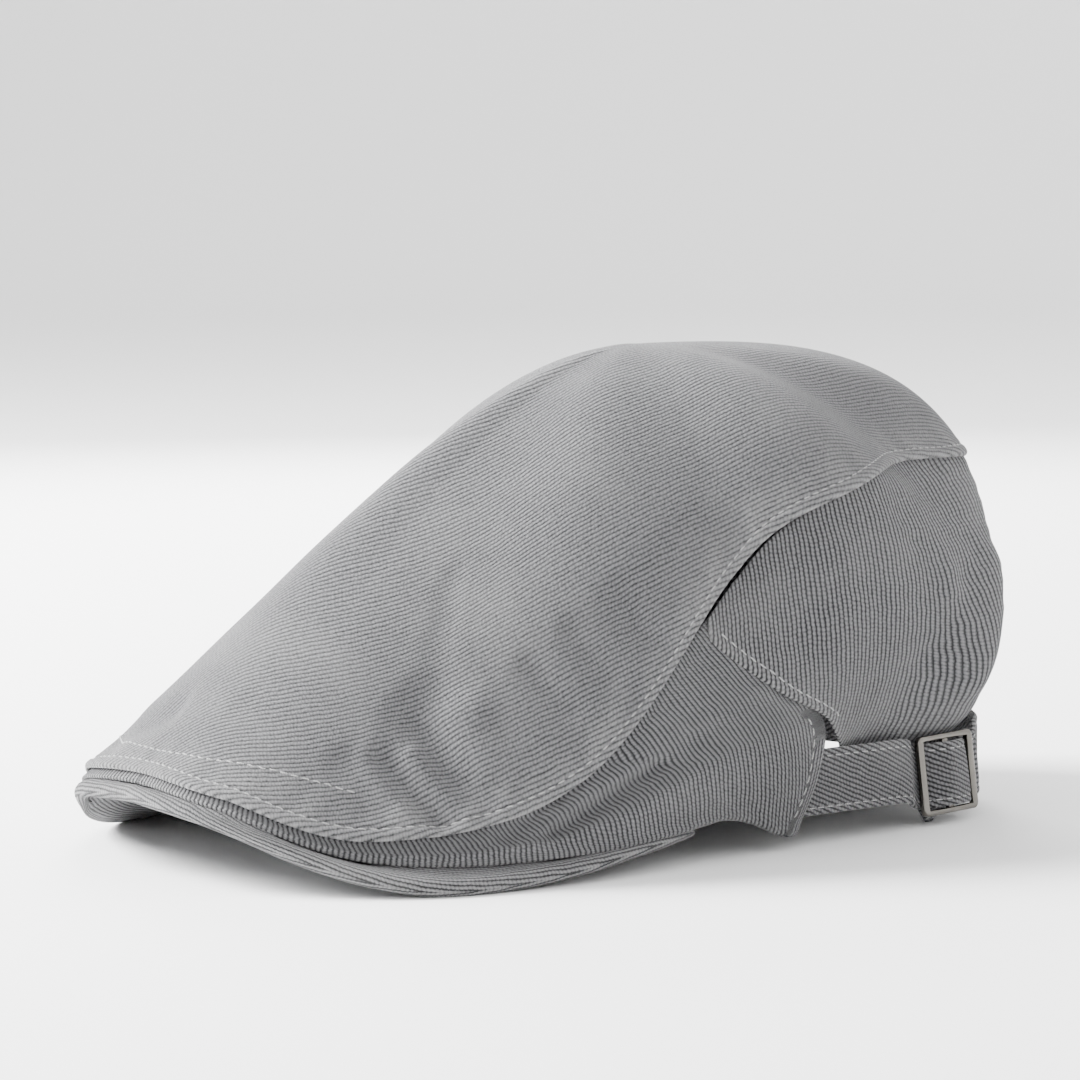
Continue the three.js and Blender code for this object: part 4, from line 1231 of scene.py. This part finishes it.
class CAP_OT_studio(bpy.types.Operator):
    """Pale studio with soft lights, and the camera at the photograph's angle"""

    bl_idname = "cap.studio"
    bl_label = "Studio"

    def execute(self, context):
        self.backdrop(context)
        self.camera(context)
        for light in LIGHTS:
            self.light(*light)
        world = bpy.data.worlds.new("studio_air")
        world.use_nodes = True
        world.node_tree.nodes["Background"].inputs[0].default_value = (1, 1, 1, 1)
        world.node_tree.nodes["Background"].inputs[1].default_value = AIR_STRENGTH
        context.scene.world = world
        return {"FINISHED"}

    def backdrop(self, context):
        """Floor that curves up all round into a wall."""
        flat, bend = 3.0, 1.2
        turns = np.linspace(0, np.pi / 2, 12)
        radius = np.concatenate(((0.4, 1.5), flat + bend * np.sin(turns), (flat + bend,)))
        height = np.concatenate(((0, 0), bend - bend * np.cos(turns), (4.0,)))
        around = np.linspace(0, 2 * np.pi, BACKDROP_SIDES + 1)[:-1]
        ring = np.stack((np.outer(radius, np.cos(around)), np.outer(radius, np.sin(around))), -1)
        level = np.broadcast_to(height[:, None, None] - 0.0001, (*ring.shape[:2], 1))
        points = np.concatenate((ring, level), -1)
        faces = [tuple(range(BACKDROP_SIDES))]
        for j in range(len(radius) - 1):
            low, high = j * BACKDROP_SIDES, (j + 1) * BACKDROP_SIDES
            for i in range(BACKDROP_SIDES):
                k = (i + 1) % BACKDROP_SIDES
                faces.append((low + i, high + i, high + k, low + k))
        paper = material("studio_paper", studio_paper, context)
        make_mesh("studio_floor", points.reshape(-1, 3), faces, paper)

    def camera(self, context):
        turn, rise = math.radians(PHOTO_AZIMUTH), math.radians(PHOTO_ELEVATION)
        towards = Vector((math.sin(turn) * math.cos(rise), -math.cos(turn) * math.cos(rise), math.sin(rise)))
        right = Vector((math.cos(turn), math.sin(turn), 0))
        up = towards.cross(right)
        target = Vector((0, forward_shift(context.scene.cap_sizes) - 15 * MM, 55.5 * MM))
        eye = target + towards * PHOTO_DISTANCE
        aim = target + up * (AIM_UP / PHOTO_SCALE * MM) + right * (AIM_RIGHT / PHOTO_SCALE * MM)
        back = (eye - aim).normalized()
        across = Vector((0, 0, 1)).cross(back).normalized()
        camera = bpy.data.objects.new("photo_camera", bpy.data.cameras.new("photo_camera"))
        axes = Matrix((across, back.cross(across), back)).transposed().to_4x4()
        roll = Matrix.Rotation(math.radians(-PHOTO_ROLL), 4, "Z")
        camera.matrix_world = Matrix.Translation(eye) @ axes @ roll
        camera.data.lens = PHOTO_LENS
        camera.data.sensor_width = 36
        camera.data.clip_end = 20
        context.scene.collection.objects.link(camera)
        context.scene.camera = camera

    def light(self, name, place, size, power):
        lamp = bpy.data.lights.new(name, "AREA")
        lamp.size = size
        lamp.energy = power
        thing = bpy.data.objects.new(name, lamp)
        thing.location = place
        thing.rotation_euler = (Vector((0, 0, 0.06)) - Vector(place)).to_track_quat("-Z", "Y").to_euler()
        bpy.context.scene.collection.objects.link(thing)


OPERATORS = (
    CAP_OT_studio,
    CAP_OT_top_panel,
    CAP_OT_side_panels,
    CAP_OT_back_panel,
    CAP_OT_peak,
    CAP_OT_straps,
    CAP_OT_buckle,
)


class CAP_PT_cap(bpy.types.Panel):
    bl_idname = "CAP_PT_cap"
    bl_label = "Flat cap"
    bl_space_type = "VIEW_3D"
    bl_region_type = "UI"
    bl_category = "Cap"

    def draw(self, context):
        for operator in OPERATORS:
            self.layout.operator(operator.bl_idname)
        for group in (context.scene.cap_sizes, context.scene.cap_colours):
            for name in group.__annotations__:
                self.layout.prop(group, name)


CLASSES = (CapSizes, CapColours, *OPERATORS, CAP_PT_cap)


def register():
    for cls in CLASSES:
        bpy.utils.register_class(cls)
    bpy.types.Scene.cap_sizes = PointerProperty(type=CapSizes)
    bpy.types.Scene.cap_colours = PointerProperty(type=CapColours)


def unregister():
    del bpy.types.Scene.cap_colours
    del bpy.types.Scene.cap_sizes
    for cls in reversed(CLASSES):
        bpy.utils.unregister_class(cls)


def main():
    register()
    bpy.ops.cap.studio()
    bpy.ops.cap.top_panel()
    bpy.ops.cap.side_panels()
    bpy.ops.cap.back_panel()
    bpy.ops.cap.peak()
    bpy.ops.cap.straps()
    bpy.ops.cap.buckle()


if __name__ == "__main__":
    main()
